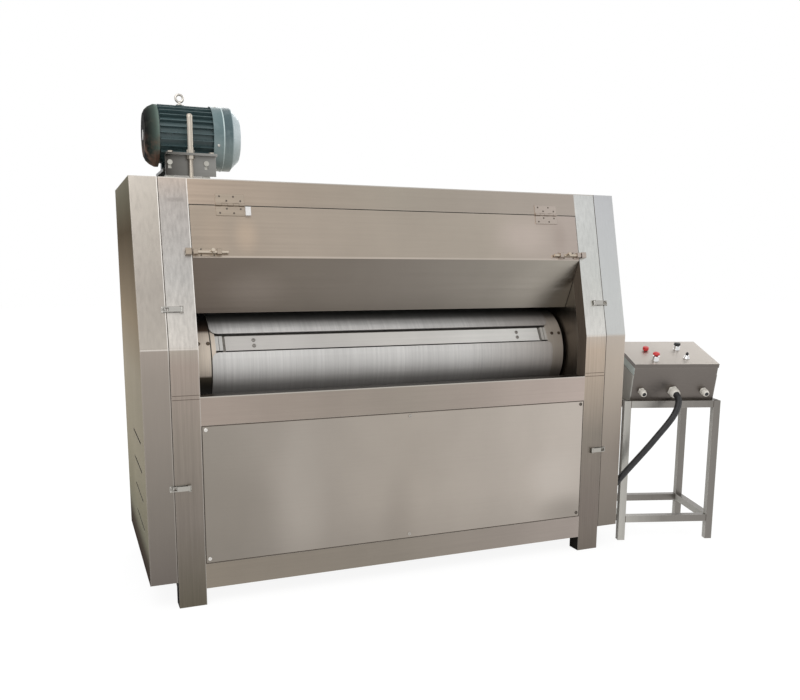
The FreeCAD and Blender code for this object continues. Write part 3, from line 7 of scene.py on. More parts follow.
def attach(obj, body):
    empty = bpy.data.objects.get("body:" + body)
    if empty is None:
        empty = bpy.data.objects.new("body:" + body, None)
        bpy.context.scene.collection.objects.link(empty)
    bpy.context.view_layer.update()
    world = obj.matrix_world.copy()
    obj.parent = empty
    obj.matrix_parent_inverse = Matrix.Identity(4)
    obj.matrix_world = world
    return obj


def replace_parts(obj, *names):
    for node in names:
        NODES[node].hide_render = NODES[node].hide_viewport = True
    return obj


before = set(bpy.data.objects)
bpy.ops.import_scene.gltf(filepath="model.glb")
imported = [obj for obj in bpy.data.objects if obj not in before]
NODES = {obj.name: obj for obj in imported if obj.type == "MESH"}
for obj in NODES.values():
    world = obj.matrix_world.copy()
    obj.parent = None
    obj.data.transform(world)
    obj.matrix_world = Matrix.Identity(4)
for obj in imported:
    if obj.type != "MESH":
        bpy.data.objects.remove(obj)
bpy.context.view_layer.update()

# Measures are millimetres of the machine frame, as in the part's source. The row's own are in metres.
MM = 0.001
SHIFT = {"X": 0.28264, "Y": 0.35239, "Z": 0.0}
KINK = 910
TOP = 1480
SETBACK = 137
LEAN = math.atan(SETBACK / (TOP - KINK))
ACROSS = Vector((1, 0, 0))
FRONT = Vector((0, -1, 0))
SKY = Vector((0, 0, 1))


def into_scene(item):
    bpy.context.scene.collection.objects.link(item)


def leaning(angle):
    """The directions out of a face that leans back by an angle, and up along it."""
    return Vector((0, -math.cos(angle), math.sin(angle))), Vector((0, math.sin(angle), math.cos(angle)))


def metres(axis, value):
    """A place along an axis of the machine frame, in the metres of the row."""
    return value / 1000 - SHIFT[axis]


def at(x, y, z):
    """A point of the machine frame as a point of the row."""
    return Vector((metres("X", x), metres("Y", y), metres("Z", z)))


# Camera, where the photographer stood. Its focal length and middle are in pixels.
CAMERA_PLACE = Vector((-1.47964, -3.18139, 1.200))
YAW = math.radians(22.234)
PITCH = math.radians(9.567)
ROLL = math.radians(0.343)
FOCAL = 829.161
IMAGE_WIDTH = 800
IMAGE_HEIGHT = 700
MIDDLE_X = 400.354
MIDDLE_Y = 402.198
SENSOR = 36.0
FAR_CLIP = 60


def make_camera():
    ahead = Vector((math.sin(YAW) * math.cos(PITCH), math.cos(YAW) * math.cos(PITCH), -math.sin(PITCH)))
    level = Vector((math.cos(YAW), -math.sin(YAW), 0))
    above = level.cross(ahead)
    right = level * math.cos(ROLL) + above * math.sin(ROLL)
    up = above * math.cos(ROLL) - level * math.sin(ROLL)
    data = bpy.data.cameras.new("camera")
    data.sensor_width = SENSOR
    data.sensor_fit = "HORIZONTAL"
    data.lens = SENSOR * FOCAL / IMAGE_WIDTH
    data.shift_x = (IMAGE_WIDTH / 2 - MIDDLE_X) / IMAGE_WIDTH
    data.shift_y = (MIDDLE_Y - IMAGE_HEIGHT / 2) / IMAGE_WIDTH
    data.clip_end = FAR_CLIP
    camera = bpy.data.objects.new("camera", data)
    turn = Matrix((right, up, -ahead)).transposed()
    camera.matrix_world = Matrix.Translation(CAMERA_PLACE) @ turn.to_4x4()
    into_scene(camera)
    bpy.context.scene.camera = camera


make_camera()


# Materials.
def colour_of(tone):
    """A shader's colour, from a display tone of 0 to 255 or from a plain share of grey."""
    def channel(v):
        v = v / 255
        return v / 12.92 if v <= 0.04045 else ((v + 0.055) / 1.055) ** 2.4
    if isinstance(tone, tuple):
        return (*map(channel, tone), 1.0)
    return (tone, tone, tone, 1.0)


def feed(tree, node, inputs):
    """Give a node's inputs their links or plain values."""
    for socket, value in inputs.items():
        if isinstance(value, bpy.types.NodeSocket):
            tree.links.new(value, node.inputs[socket])
        else:
            node.inputs[socket].default_value = value


def add(tree, kind, inputs, operation=None):
    """A new node, with what goes into it."""
    node = tree.nodes.new(kind)
    if operation:
        node.operation = operation
    feed(tree, node, inputs)
    return node


# The mix node's sockets for colours.
MIX_FIRST = 6
MIX_SECOND = 7
MIX_RESULT = 2
# Cosines between which a face counts as looking a given way, and a bend as an edge.
FACING = (0.5, 0.7)
EDGE = (0.995, 0.80)
EDGE_SAMPLES = 4


class Look:
    """A material under construction."""

    def __init__(self, name, metallic=0.0, specular=0.5):
        self.material = bpy.data.materials.new(name)
        self.material.use_nodes = True
        self.tree = self.material.node_tree
        self.shader = self.tree.nodes["Principled BSDF"]
        feed(self.tree, self.shader, {"Metallic": metallic, "Specular IOR Level": specular})
        self.place = self.add("ShaderNodeTexCoord", {}).outputs["Object"]
        self.axes = dict(zip("XYZ", self.add("ShaderNodeSeparateXYZ", {0: self.place}).outputs))

    def add(self, kind, inputs, operation=None):
        return add(self.tree, kind, inputs, operation)

    def noise(self, scale, stretch=(1, 1, 1), detail=3.0, shift=0.0):
        mapping = self.add("ShaderNodeMapping", {
            "Vector": self.place, "Location": [shift] * 3, "Scale": [scale * s for s in stretch]})
        noise = self.add("ShaderNodeTexNoise", {
            "Vector": mapping.outputs["Vector"], "Scale": 1.0, "Detail": detail})
        return noise.outputs["Fac"]

    def span(self, source, low, high, out_low=0.0, out_high=1.0):
        """The source's run from low to high as a run from out_low to out_high."""
        node = self.add("ShaderNodeMapRange", {
            "Value": source, "From Min": low, "From Max": high, "To Min": out_low, "To Max": out_high})
        return node.outputs["Result"]

    def past(self, axis, start, end, most=1.0):
        """0 up to the start and the most from the end on, along an axis."""
        return self.span(self.axes[axis], metres(axis, start), metres(axis, end), 0, most)

    def near(self, axis, place, width):
        """1 on a line across an axis, 0 beside it."""
        line = {0: self.axes[axis], 1: metres(axis, place), 2: width * MM}
        return self.add("ShaderNodeMath", line, "COMPARE").outputs[0]

    def dot(self, first, second):
        return self.add("ShaderNodeVectorMath", {0: first, 1: second}, "DOT_PRODUCT").outputs["Value"]

    def facing(self, direction):
        """How much a face of the piece looks a given way, 0 to 1."""
        normal = self.add("ShaderNodeTexCoord", {}).outputs["Normal"]
        return self.span(self.dot(normal, direction), *FACING)

    def tilt(self):
        """How far a place looks up, from -1 to 1, however its piece is turned."""
        geometry = self.add("ShaderNodeNewGeometry", {})
        return self.add("ShaderNodeSeparateXYZ", {0: geometry.outputs["Normal"]}).outputs[2]

    def ramp(self, source, stops):
        """A colour ramp over 0 to 1, with stops of (place, tone)."""
        node = self.add("ShaderNodeValToRGB", {"Fac": source})
        points = node.color_ramp.elements
        while len(points) > 1:
            points.remove(points[-1])
        points[0].position = stops[0][0]
        points[0].color = colour_of(stops[0][1])
        for place, tone in stops[1:]:
            points.new(place).color = colour_of(tone)
        return node.outputs["Color"]

    def along(self, axis, stops):
        """Tones along an axis, with stops of (place, tone)."""
        low = stops[0][0]
        high = stops[-1][0]
        return self.ramp(self.past(axis, low, high), [((p - low) / (high - low), t) for p, t in stops])

    def by_tilt(self, stops):
        """Tones by how far a place looks up, with stops of (tilt, tone)."""
        return self.ramp(self.span(self.tilt(), -1, 1), [((tilt + 1) / 2, tone) for tilt, tone in stops])

    def mix(self, share, first, second, kind="MIX"):
        node = self.add("ShaderNodeMix", {})
        node.data_type = "RGBA"
        node.blend_type = kind
        feed(self.tree, node, {"Factor": share, MIX_FIRST: first, MIX_SECOND: second})
        return node.outputs[MIX_RESULT]

    def multiply(self, first, second):
        return self.mix(1.0, first, second, "MULTIPLY")

    def both(self, first, second):
        """The second share, only where the first one is 1."""
        return self.mix(first, colour_of(0.0), second)

    def tint(self, colour, share, tone):
        """The colour with a tone over a share of it."""
        return self.mix(share, colour, colour_of(tone))

    def line(self, colour, axis, place, width, tone, share=1.0):
        """The colour with a line of another tone across an axis."""
        return self.tint(colour, self.span(self.near(axis, place, width), 0, 1, 0, share), tone)

    def shade(self, colour, source, low, high):
        """The colour made darker or lighter where the source runs from low to high."""
        return self.multiply(colour, self.ramp(source, [(0.25, low), (0.75, high)]))

    def edge_wear_and_shade(self, colour, width, tone, share):
        """The colour with another tone on its outer edges: rubbed wear where the tone is pale, a painted
        shade outline where it is dark.
        """
        bevel = self.add("ShaderNodeBevel", {"Radius": width * MM})
        bevel.samples = EDGE_SAMPLES
        geometry = self.add("ShaderNodeNewGeometry", {})
        same = self.dot(bevel.outputs["Normal"], geometry.outputs["Normal"])
        return self.tint(colour, self.span(same, *EDGE, 0, share), tone)

    def reflection_spots(self, colour, spots):
        """Soft spots of painted reflection on an upright face, each (x, z, reach across, reach up, tone,
        share).
        """
        for x, z, wide, high, tone, share in spots:
            wide *= MM
            high *= MM
            local = self.add("ShaderNodeVectorMath", {
                0: self.place, 1: (1 / wide, 0, 1 / high),
                2: (-metres("X", x) / wide, 0, -metres("Z", z) / high)}, "MULTIPLY_ADD")
            length = self.add("ShaderNodeVectorMath", {0: local.outputs["Vector"]}, "LENGTH")
            soft = self.add("ShaderNodeMapRange", {
                "Value": length.outputs["Value"], "From Min": 1.0, "From Max": 0.1, "To Max": share})
            soft.interpolation_type = "SMOOTHSTEP"
            colour = self.tint(colour, soft.outputs["Result"], tone)
        return colour

    def finish(self, colour, roughness, height, strength, distance):
        """Give the shader its colour, roughness and bump."""
        bump = self.add("ShaderNodeBump",
                        {"Height": height, "Strength": strength, "Distance": distance * MM})
        feed(self.tree, self.shader,
             {"Base Color": colour, "Roughness": roughness, "Normal": bump.outputs["Normal"]})
        return self.material


# Brushed steel: the waves per metre of its layers, how a grain stretches them, and what is left
# of metal and gloss where a side is dull.
FINE = 900
COARSE = 130
SMEAR = 5.0
CLOUD = 1.7
LONG = 0.012
GRAINS = {"X": (LONG, 1, 1), "Z": (1, 1, LONG), "ROUND": (1, LONG, LONG)}
DULL_METAL = 0.04
DULL_GLOSS = 0.0
GLOSS = 0.5
EDGE_SHARE = 0.45


def steel(name, tones, axis="Z", grain="Z", streaks=0.08, mottle=0.06, rough=(0.28, 0.42), edge=1.2,
          edge_tone=(235, 230, 222), heights=None, patches=(), metallic=1.0, dull=None):
    """Brushed stainless sheet: tones along an axis, shades by height, patches, grain and smears."""
    look = Look(name, metallic=metallic, specular=GLOSS)
    if dull:
        share = dull(look)
        feed(look.tree, look.shader, {"Metallic": look.span(share, 0, 1, metallic, DULL_METAL),
                                      "Specular IOR Level": look.span(share, 0, 1, GLOSS, DULL_GLOSS)})
    colour = look.along(axis, tones)
    if heights:
        colour = look.multiply(colour, look.along("Z", heights))
    for patch in patches:
        colour = patch(look, colour)
    fine = look.noise(FINE, GRAINS[grain], 2.0)
    coarse = look.noise(COARSE, GRAINS[grain], 3.0, 3.7)
    smear = look.noise(SMEAR, (1, 1, 0.6), 4.0, 8.1)
    cloud = look.noise(CLOUD, (1, 1, 1), 2.0, 1.3)
    colour = look.shade(colour, coarse, 1 - streaks, 1 + streaks * 0.6)
    colour = look.shade(colour, fine, 1 - streaks * 0.8, 1 + streaks * 0.5)
    colour = look.shade(colour, smear, 1 - mottle, 1 + mottle * 0.4)
    colour = look.shade(colour, cloud, 1 - mottle, 1 + mottle * 0.4)
    colour = look.edge_wear_and_shade(colour, edge, edge_tone, EDGE_SHARE)
    return look.finish(colour, look.span(coarse, 0.3, 0.7, *rough), fine, 0.12, 0.4)


def iron_look(name, dark, pale, rough, size=120, metallic=0.6):
    look = Look(name, metallic=metallic)
    grain = look.noise(size, detail=5.0)
    colour = look.ramp(grain, [(0.3, dark), (0.7, pale)])
    colour = look.edge_wear_and_shade(colour, 1.5, (150, 146, 140), 0.5)
    return look.finish(colour, look.span(grain, 0.3, 0.7, rough - 0.1, rough + 0.1), grain, 0.35, 0.6)


def enamel(name, tones, wear, rough=0.3, patches=(), specular=0.5):
    """Machine enamel: one tone or tones along X, with orange peel, dust and chipped edges."""
    look = Look(name, specular=specular)
    dust = look.noise(9, detail=5.0)
    colour = look.along("X", tones) if isinstance(tones, list) else colour_of(tones)
    for patch in patches:
        colour = patch(look, colour)
    colour = look.shade(colour, dust, 0.82, 1.12)
    dirt = look.noise(34, detail=4.0, shift=5.0)
    colour = look.tint(colour, look.span(dirt, 0.55, 0.8, 0, 0.35), wear)
    colour = look.edge_wear_and_shade(colour, 1.2, wear, 0.35)
    roughness = look.span(dirt, 0.3, 0.8, rough - 0.06, rough + 0.2)
    return look.finish(colour, roughness, look.noise(420), 0.08, 0.4)


def plastic(name, dark, pale, rough):
    look = Look(name)
    grain = look.noise(80, detail=4.0)
    colour = look.ramp(grain, [(0.3, dark), (0.7, pale)])
    roughness = look.span(grain, 0.3, 0.7, rough - 0.07, rough + 0.09)
    return look.finish(colour, roughness, look.noise(1200), 0.06, 0.2)


def paint(material, *nodes):
    for node in nodes:
        item = NODES[node]
        item.data.materials.clear()
        item.data.materials.append(material)


# The conduit between the console and the machine, its own measures in metres.
CONDUIT_DIAMETER = 0.028
CONDUIT_ROUTE = [
    (1214, -33.5, 654.6),
    (1202.3, -70.5, 644.6),
    (1180, -97, 613),
    (1152, -106, 575),
    (1118, -102, 533),
    (1088, -90, 492),
    (1061.5, -76, 450.5),
    (1024, -38, 378.5),
    (990, 6, 305.5),
    (985.5, 54, 249),
    (985, 104, 228),
    (985, 159, 228),
]
RIB_PITCH = 0.0046
RIB_HEIGHT = 0.0012
RIB_WAVE = (0, -0.7, -1, -0.7)
RIB_SIDES = 20


def route_curve(points):
    """A smooth spline that has the route's corners as its control points."""
    data = bpy.data.curves.new("route", "CURVE")
    data.dimensions = "3D"
    spline = data.splines.new("NURBS")
    spline.points.add(len(points) - 1)
    for point, place in zip(spline.points, points):
        point.co = (*place, 1)
    spline.order_u = 3
    spline.use_endpoint_u = True
    spline.resolution_u = 24
    return bpy.data.objects.new("route", data)


def read_path(curve):
    into_scene(curve)
    bpy.context.view_layer.update()
    mesh = bpy.data.meshes.new_from_object(curve)
    path = [v.co.copy() for v in mesh.vertices]
    bpy.data.meshes.remove(mesh)
    bpy.data.curves.remove(curve.data)
    return path


def spaced(path, step):
    """The path with its points an even step apart."""
    result = [path[0].copy()]
    left = step
    for a, b in zip(path, path[1:]):
        length = (b - a).length
        done = 0.0
        while length - done > left:
            done += left
            result.append(a.lerp(b, done / length))
            left = step
        left -= length - done
    result.append(path[-1].copy())
    return result


def mesh_object(name, bm, material):
    mesh = bpy.data.meshes.new(name)
    bm.to_mesh(mesh)
    bm.free()
    mesh.materials.append(material)
    item = bpy.data.objects.new(name, mesh)
    into_scene(item)
    return item


def new_piece(name, bm, material, body, smooth=True):
    bmesh.ops.recalc_face_normals(bm, faces=bm.faces)
    piece = mesh_object(name, bm, material)
    for face in piece.data.polygons:
        face.use_smooth = smooth
    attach(piece, body)
    return piece


def band(bm, low, high):
    """The faces between two rings, of which one may be a single point."""
    count = max(len(low), len(high))
    for k in range(count):
        m = (k + 1) % count
        if len(low) == 1:
            bm.faces.new((low[0], high[m], high[k]))
        elif len(high) == 1:
            bm.faces.new((low[k], low[m], high[0]))
        else:
            bm.faces.new((low[k], low[m], high[m], high[k]))


def circle(bm, middle, side, other, radius, count, shift=0.0):
    """Points around a middle, in the plane of two directions."""
    turns = [2 * math.pi * (k + shift) / count for k in range(count)]
    return [bm.verts.new(middle + (side * math.cos(t) + other * math.sin(t)) * radius) for t in turns]


def tube(bm, path, radii, sides):
    """A tube around a path, with closed ends."""
    rings = []
    turn = None
    for i, place in enumerate(path):
        before = path[max(0, i - 1)]
        after = path[min(len(path) - 1, i + 1)]
        ahead = (after - before).normalized()
        if turn is None:
            turn = ahead.orthogonal().normalized()
        turn = (turn - ahead * turn.dot(ahead)).normalized()
        rings.append(circle(bm, place, turn, ahead.cross(turn), radii[i], sides))
    for low, high in zip(rings, rings[1:]):
        band(bm, low, high)
    bm.faces.new(rings[0][::-1])
    bm.faces.new(rings[-1])


def conduit_look():
    look = Look("conduit_black")
    dust = look.noise(60, detail=4.0)
    colour = look.ramp(dust, [(0.35, (20, 20, 22)), (0.7, (48, 47, 48))])
    return look.finish(colour, look.span(dust, 0.3, 0.7, 0.34, 0.55), look.noise(900), 0.1, 0.2)


def make_conduit():
    points = [at(*p) for p in CONDUIT_ROUTE]
    path = read_path(route_curve(points))
    steps = len(RIB_WAVE)
    middle = spaced(path, RIB_PITCH / steps)
    radii = [CONDUIT_DIAMETER / 2 + RIB_WAVE[i % steps] * RIB_HEIGHT for i in range(len(middle))]
    bm = bmesh.new()
    tube(bm, middle, radii, RIB_SIDES)
    piece = new_piece("conduit", bm, conduit_look(), "frame")
    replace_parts(piece, "control_conduit")


make_conduit()


# Light and floor, in metres: a white room and three soft lamps, the strongest above on the left.
ROOM_STRENGTH = 0.65
SEEN_STRENGTH = 1.0
LAMPS = (
    ("key_lamp", (-2.6, -3.4, 4.2), 80),
    ("side_lamp", (4.6, 0.6, 3.0), 45),
    ("back_lamp", (0.0, 4.2, 3.6), 50),
)
LAMP_SIZE = 3.0
LAMP_AIM = Vector((0, 0, 0.7))
FLOOR_SIZE = 20
FLOOR_DROP = 0.0005
FLOOR_TONE = 0.86
FLOOR_GLOW = 1.12
FLOOR_GLOW_SHARE = 0.8


def seen_by(tree, *rays):
    """1 for rays of these kinds, which show the surroundings, and 0 for all others."""
    path = add(tree, "ShaderNodeLightPath", {}).outputs
    seen = path[rays[0]]
    for ray in rays[1:]:
        seen = add(tree, "ShaderNodeMath", {0: seen, 1: path[ray]}, "MAXIMUM").outputs[0]
    return seen


def glow_node(tree, kind, strength):
    return add(tree, kind, {"Color": colour_of(1.0), "Strength": strength})


def end_tree(tree, out, share, lit, seen):
    """End a tree in a mix of the shader that lights the object and the one that is seen."""
    mix = add(tree, "ShaderNodeMixShader", {"Fac": share, 1: lit.outputs[0], 2: seen.outputs[0]})
    add(tree, out, {"Surface": mix.outputs[0]})


def make_light():
    world = bpy.data.worlds.new("room")
    world.use_nodes = True
    bpy.context.scene.world = world
    tree = world.node_tree
    tree.nodes.clear()
    seen = seen_by(tree, "Is Camera Ray", "Is Glossy Ray", "Is Transmission Ray")
    room = glow_node(tree, "ShaderNodeBackground", ROOM_STRENGTH)
    white = glow_node(tree, "ShaderNodeBackground", SEEN_STRENGTH)
    end_tree(tree, "ShaderNodeOutputWorld", seen, room, white)
    for name, place, power in LAMPS:
        data = bpy.data.lights.new(name, "AREA")
        data.energy = power
        data.size = LAMP_SIZE
        lamp = bpy.data.objects.new(name, data)
        lamp.location = place
        lamp.rotation_euler = (LAMP_AIM - Vector(place)).to_track_quat("-Z", "Y").to_euler()
        into_scene(lamp)


def make_floor():
    material = bpy.data.materials.new("floor_white")
    material.use_nodes = True
    tree = material.node_tree
    tree.nodes.clear()
    diffuse = add(tree, "ShaderNodeBsdfDiffuse", {"Color": colour_of(FLOOR_TONE)})
    glow = glow_node(tree, "ShaderNodeEmission", FLOOR_GLOW)
    seen = seen_by(tree, "Is Camera Ray", "Is Glossy Ray")
    share = add(tree, "ShaderNodeMath", {0: seen, 1: FLOOR_GLOW_SHARE}, "MULTIPLY")
    end_tree(tree, "ShaderNodeOutputMaterial", share.outputs[0], diffuse, glow)
    bm = bmesh.new()
    bmesh.ops.create_grid(bm, x_segments=2, y_segments=2, size=FLOOR_SIZE)
    floor = mesh_object("floor", bm, material)
    floor.location.z = -FLOOR_DROP


make_light()
make_floor()

# Posts and side covers: tones by height, which hold painted reflection and shade: darker low down, as a
# painted reflection of the floor, and brighter on the slope just above the kink, as painted light.
LEFT_POST = [
    (0, (102, 96, 84)), (300, (129, 121, 113)), (600, (146, 137, 127)), (850, (167, 154, 144)),
    (905, (176, 166, 155)), (915, (203, 197, 190)), (980, (202, 197, 190)), (1150, (178, 175, 171)),
    (1400, (166, 160, 155)), (1480, (176, 164, 154)),
]
RIGHT_POST = [
    (0, (117, 109, 101)), (200, (127, 118, 111)), (500, (141, 133, 123)), (850, (196, 179, 162)),
    (905, (200, 187, 174)), (915, (226, 224, 219)), (1000, (216, 215, 210)), (1150, (206, 207, 203)),
    (1480, (207, 208, 206)),
]
LEFT_COVER = [
    (95, (112, 105, 99)), (400, (132, 125, 117)), (800, (154, 145, 136)), (905, (163, 153, 144)),
    (915, (172, 165, 156)), (1100, (164, 157, 149)), (1400, (172, 165, 156)), (1480, (178, 171, 162)),
]
RIGHT_COVER = [
    (95, (124, 117, 109)), (400, (144, 135, 126)), (800, (186, 174, 161)), (905, (192, 181, 170)),
    (915, (203, 204, 202)), (1100, (202, 204, 203)), (1480, (194, 195, 197)),
]
LEFT_SIDE = [
    (95, (62, 50, 42)), (160, (84, 76, 66)), (230, (146, 142, 124)), (300, (154, 148, 128)),
    (500, (174, 166, 146)), (800, (180, 170, 152)), (1000, (168, 152, 130)), (1300, (98, 86, 69)),
    (1430, (121, 116, 99)), (1480, (133, 128, 112)),
]
SIDE_DEPTH = [(0, 0.82), (300, 0.92), (800, 1.0)]
POST_SHADE = [(0, (40, 38, 36)), (150, (44, 40, 37)), (250, (96, 86, 76))]
BACK = [(95, (134, 128, 120)), (900, (160, 154, 147)), (1480, (176, 171, 164))]
EDGE_LIGHT = [(100, 0.12), (850, 0.2), (930, 0.75), (1480, 0.7)]
POST_TOP_REFLECTION = (-815, 1405, 45, 12, (138, 132, 127), 0.6)
POST_EDGE = -776.4
COVER_EDGE = -874.4
COVER_SEAM = 871.4


def left_face(look):
    return look.facing(-ACROSS)


def outer_side(look):
    return look.past("X", -963.8, -964.8)


def shaded_side(look, colour):
    """The side of a post that looks left lies in the shade, most of all at its foot."""
    return look.mix(left_face(look), colour, look.along("Z", POST_SHADE))


def plain_back(look, colour):
    """The back, the top and the right side are evenly brushed."""
    even = look.along("Z", BACK)
    for direction in (-FRONT, ACROSS, SKY):
        colour = look.mix(look.facing(direction), colour, even)
    return colour


def bend_highlight(look, colour):
    """A painted highlight along the line where the sheet is bent at the kink."""
    return look.line(colour, "Z", KINK - 1.5, 2.2, (228, 222, 214), 0.6)


def bright_edge(look, colour, x):
    """An edge of the sheet that catches the light, strongest on the slope."""
    line = look.both(look.near("X", x, 1.3), look.along("Z", EDGE_LIGHT))
    return look.tint(colour, line, (240, 236, 230))


def post_edge(look, colour):
    """The left post's inner edge shines, and a dark reflection is painted near its top."""
    return bright_edge(look, look.reflection_spots(colour, [POST_TOP_REFLECTION]), POST_EDGE)


def cover_edge(look, colour):
    return bright_edge(look, colour, COVER_EDGE)


def cover_seam(look, colour):
    """The dark gap between a cover and its post."""
    for x in (-COVER_SEAM, COVER_SEAM):
        colour = look.line(colour, "X", x, 1.6, (70, 62, 55))
    return colour


def side_tones(look, colour):
    """The left cover's outer side: painted reflection and shade by height, a little darker towards the
    front.
    """
    side = look.multiply(look.along("Z", LEFT_SIDE), look.along("Y", SIDE_DEPTH))
    return look.mix(outer_side(look), colour, side)


def post_look(name, tones, patches):
    return steel(name, tones, streaks=0.12, mottle=0.07, patches=(*patches, shaded_side, plain_back),
                 dull=left_face)


paint(post_look("left_post_brushed", LEFT_POST, (bend_highlight, post_edge)), "left_front_post")
paint(post_look("right_post_brushed", RIGHT_POST, (bend_highlight,)), "right_front_post")
paint(steel("left_cover_satin", LEFT_COVER, streaks=0.04, dull=outer_side,
            patches=(bend_highlight, cover_edge, plain_back, side_tones, cover_seam)), "left_side_cover")
paint(steel("right_cover_satin", RIGHT_COVER, streaks=0.04, patches=(plain_back, cover_seam)),
      "right_side_cover")

# Beams, panels and hood. Their tones along X and by height hold painted reflection and shade: darker to the
# left and low down, paler to the right.
FRONT_PANEL = [(-770, (150, 143, 134)), (-450, (164, 156, 147)), (0, (172, 163, 153)),
               (770, (190, 181, 172))]
PANEL_HEIGHTS = [(150, 0.84), (300, 0.95), (645, 1.0)]
PANEL_REFLECTIONS = (
    (-680, 300, 200, 420, (138, 131, 122), 0.6),
    (-430, 360, 140, 400, (176, 168, 159), 0.6),
    (-40, 220, 100, 260, (148, 140, 131), 0.5),
    (640, 340, 160, 160, (204, 196, 188), 0.3),
    (720, 170, 220, 110, (146, 139, 131), 0.7),
)
HOOD_REFLECTIONS = (
    (-585, 1290, 60, 90, (192, 172, 152), 0.5),
    (-690, 1290, 70, 120, (184, 164, 144), 0.15),
    (520, 1300, 160, 100, (196, 183, 174), 0.6),
    (690, 1300, 50, 100, (152, 138, 130), 0.3),
)
HOOD_LOW_REFLECTIONS = (
    (-560, 1100, 160, 100, (150, 140, 131), 0.35),
    (610, 1100, 200, 120, (184, 176, 166), 0.3),
)
HOOD = [(-770, (157, 144, 130)), (-350, (171, 159, 146)), (0, (166, 156, 144)), (350, (176, 166, 154)),
        (770, (179, 167, 159))]
HOOD_LOW = [(-770, (112, 102, 93)), (-400, (121, 113, 104)), (0, (126, 119, 111)), (770, (162, 156, 146))]
HOOD_BEND = 1212.5
PANEL_SIDE = 773
PANEL_LEVELS = (152.4, 642.6)


def gap_shadow(look, colour):
    """The lip over the hood's hinge gap lies in the dark."""
    return look.tint(colour, look.facing(-SKY), (46, 40, 36))


def panel_outline(look, colour):
    """Soft reflections on the front panel, and the dark gap around it."""
    colour = look.reflection_spots(colour, PANEL_REFLECTIONS)
    for x in (-PANEL_SIDE, PANEL_SIDE):
        colour = look.line(colour, "X", x, 1.6, (70, 62, 54))
    for z in PANEL_LEVELS:
        colour = look.line(colour, "Z", z, 1.6, (84, 75, 66))
    return colour


def beam_top(look, colour):
    """The top of the beam gets a dark painted reflection of the machine's inside, behind a painted
    highlight along its edge.
    """
    colour = look.line(colour, "Z", 743, 1.8, (204, 202, 192), 0.6)
    return look.tint(colour, look.facing(SKY), (86, 80, 74))


def hood_lower(look, colour):
    """The lower plate leans towards the floor and gets a darker painted reflection of it, under a painted
    highlight along the bend.
    """
    dark = look.reflection_spots(look.along("X", HOOD_LOW), HOOD_LOW_REFLECTIONS)
    colour = look.reflection_spots(colour, HOOD_REFLECTIONS)
    colour = look.line(colour, "Z", HOOD_BEND + 3, 3.2, (208, 197, 186), 0.4)
    return look.mix(look.past("Z", HOOD_BEND, HOOD_BEND - 0.5), colour, dark)


paint(steel("header_satin", [(-775, (167, 151, 136)), (0, (165, 156, 144)), (775, (171, 161, 152))],
            "X", "X", streaks=0.04, patches=(gap_shadow,)), "header_beam")
paint(steel("front_panel_satin", FRONT_PANEL, "X", "X", streaks=0.03, heights=PANEL_HEIGHTS,
            patches=(panel_outline,)), "front_panel")
paint(steel("rail_satin", [(-770, (142, 133, 121)), (0, (143, 135, 125)), (770, (160, 150, 143))],
            "X", "X", streaks=0.05), "bottom_front_rail")
paint(steel("feed_beam_satin", [(-770, (164, 151, 141)), (0, (156, 147, 137)), (770, (184, 170, 162))],
            "X", "X", streaks=0.05, patches=(beam_top,)), "feed_beam")
paint(steel("hood_satin", HOOD, "X", "X", streaks=0.035, patches=(hood_lower,)), "hood_panel")
paint(steel("roof_satin", [(-717, (186, 180, 172)), (1283, (190, 186, 180))], "X", "X"), "roof_panel")
paint(steel("rear_satin", [(0, (140, 134, 126)), (1480, (178, 172, 164))], grain="X"), "rear_panel")
paint(steel("wall_satin", [(0, (110, 103, 96)), (800, (124, 116, 107)), (1480, (150, 143, 134))]),
      "side_walls")
paint(steel("tube_satin", [(0, (120, 113, 105)), (1480, (170, 165, 158))]), "rear_frame")

# Drum, shafts and drives.
CAVITY = ((-0.5, 0.22), (-0.36, 0.36), (-0.2, 0.72), (0.0, 0.82), (0.2, 0.9), (0.5, 0.84), (0.7, 1.0),
          (0.8, 0.92), (0.86, 0.45), (0.95, 0.12))
RING_SHADE = ((-0.34, (62, 60, 50)), (-0.18, (96, 90, 78)), (-0.14, (255, 250, 246)),
              (0.66, (255, 250, 246)), (0.71, (92, 78, 68)), (0.8, (74, 64, 58)))
BARS = [(-760, (218, 214, 209)), (-350, (220, 216, 211)), (0, (232, 228, 222)), (350, (247, 245, 240)),
        (760, (250, 248, 243))]
ENDS = (-1017, 883)
RING_GAP = -707.5
BLOCK_GROOVE = 677


def cavity_shade(look, colour):
    """The drum lies in a cavity: a place is darker where it looks down or far up."""
    return look.multiply(colour, look.by_tilt(CAVITY))


def upper_shade(look, colour):
    """The upper plate is darker towards the right, where the hood shades it."""
    shade = look.along("X", [(0, 1.0), (480, 0.84), (700, 0.8)])
    return look.mix(look.span(look.tilt(), 0.5, 0.6), colour, look.multiply(colour, shade))


def ring_shade(look, colour):
    """The left ring: hard shade from hood and beam, and the dark gap beside the plates."""
    shade = look.multiply(colour, look.by_tilt(RING_SHADE))
    colour = look.mix(look.past("X", -600, -650), colour, shade)
    return look.line(colour, "X", RING_GAP, 2.2, (60, 52, 46))


def block_groove(look, colour):
    for x in (-BLOCK_GROOVE, BLOCK_GROOVE):
        colour = look.line(colour, "X", x, 0.9, (84, 80, 76))
    return colour


def drum_steel(name, tones, grain="ROUND", streaks=0.1, patches=()):
    return steel(name, tones, "X", grain, streaks, 0.1, (0.42, 0.54), metallic=0.3,
                 patches=(*patches, cavity_shade))


def shaft_steel(name, left, right, rough=(0.28, 0.42)):
    """Turned steel with a tone for each end."""
    return steel(name, list(zip(ENDS, (left, right))), "X", "X", rough=rough)
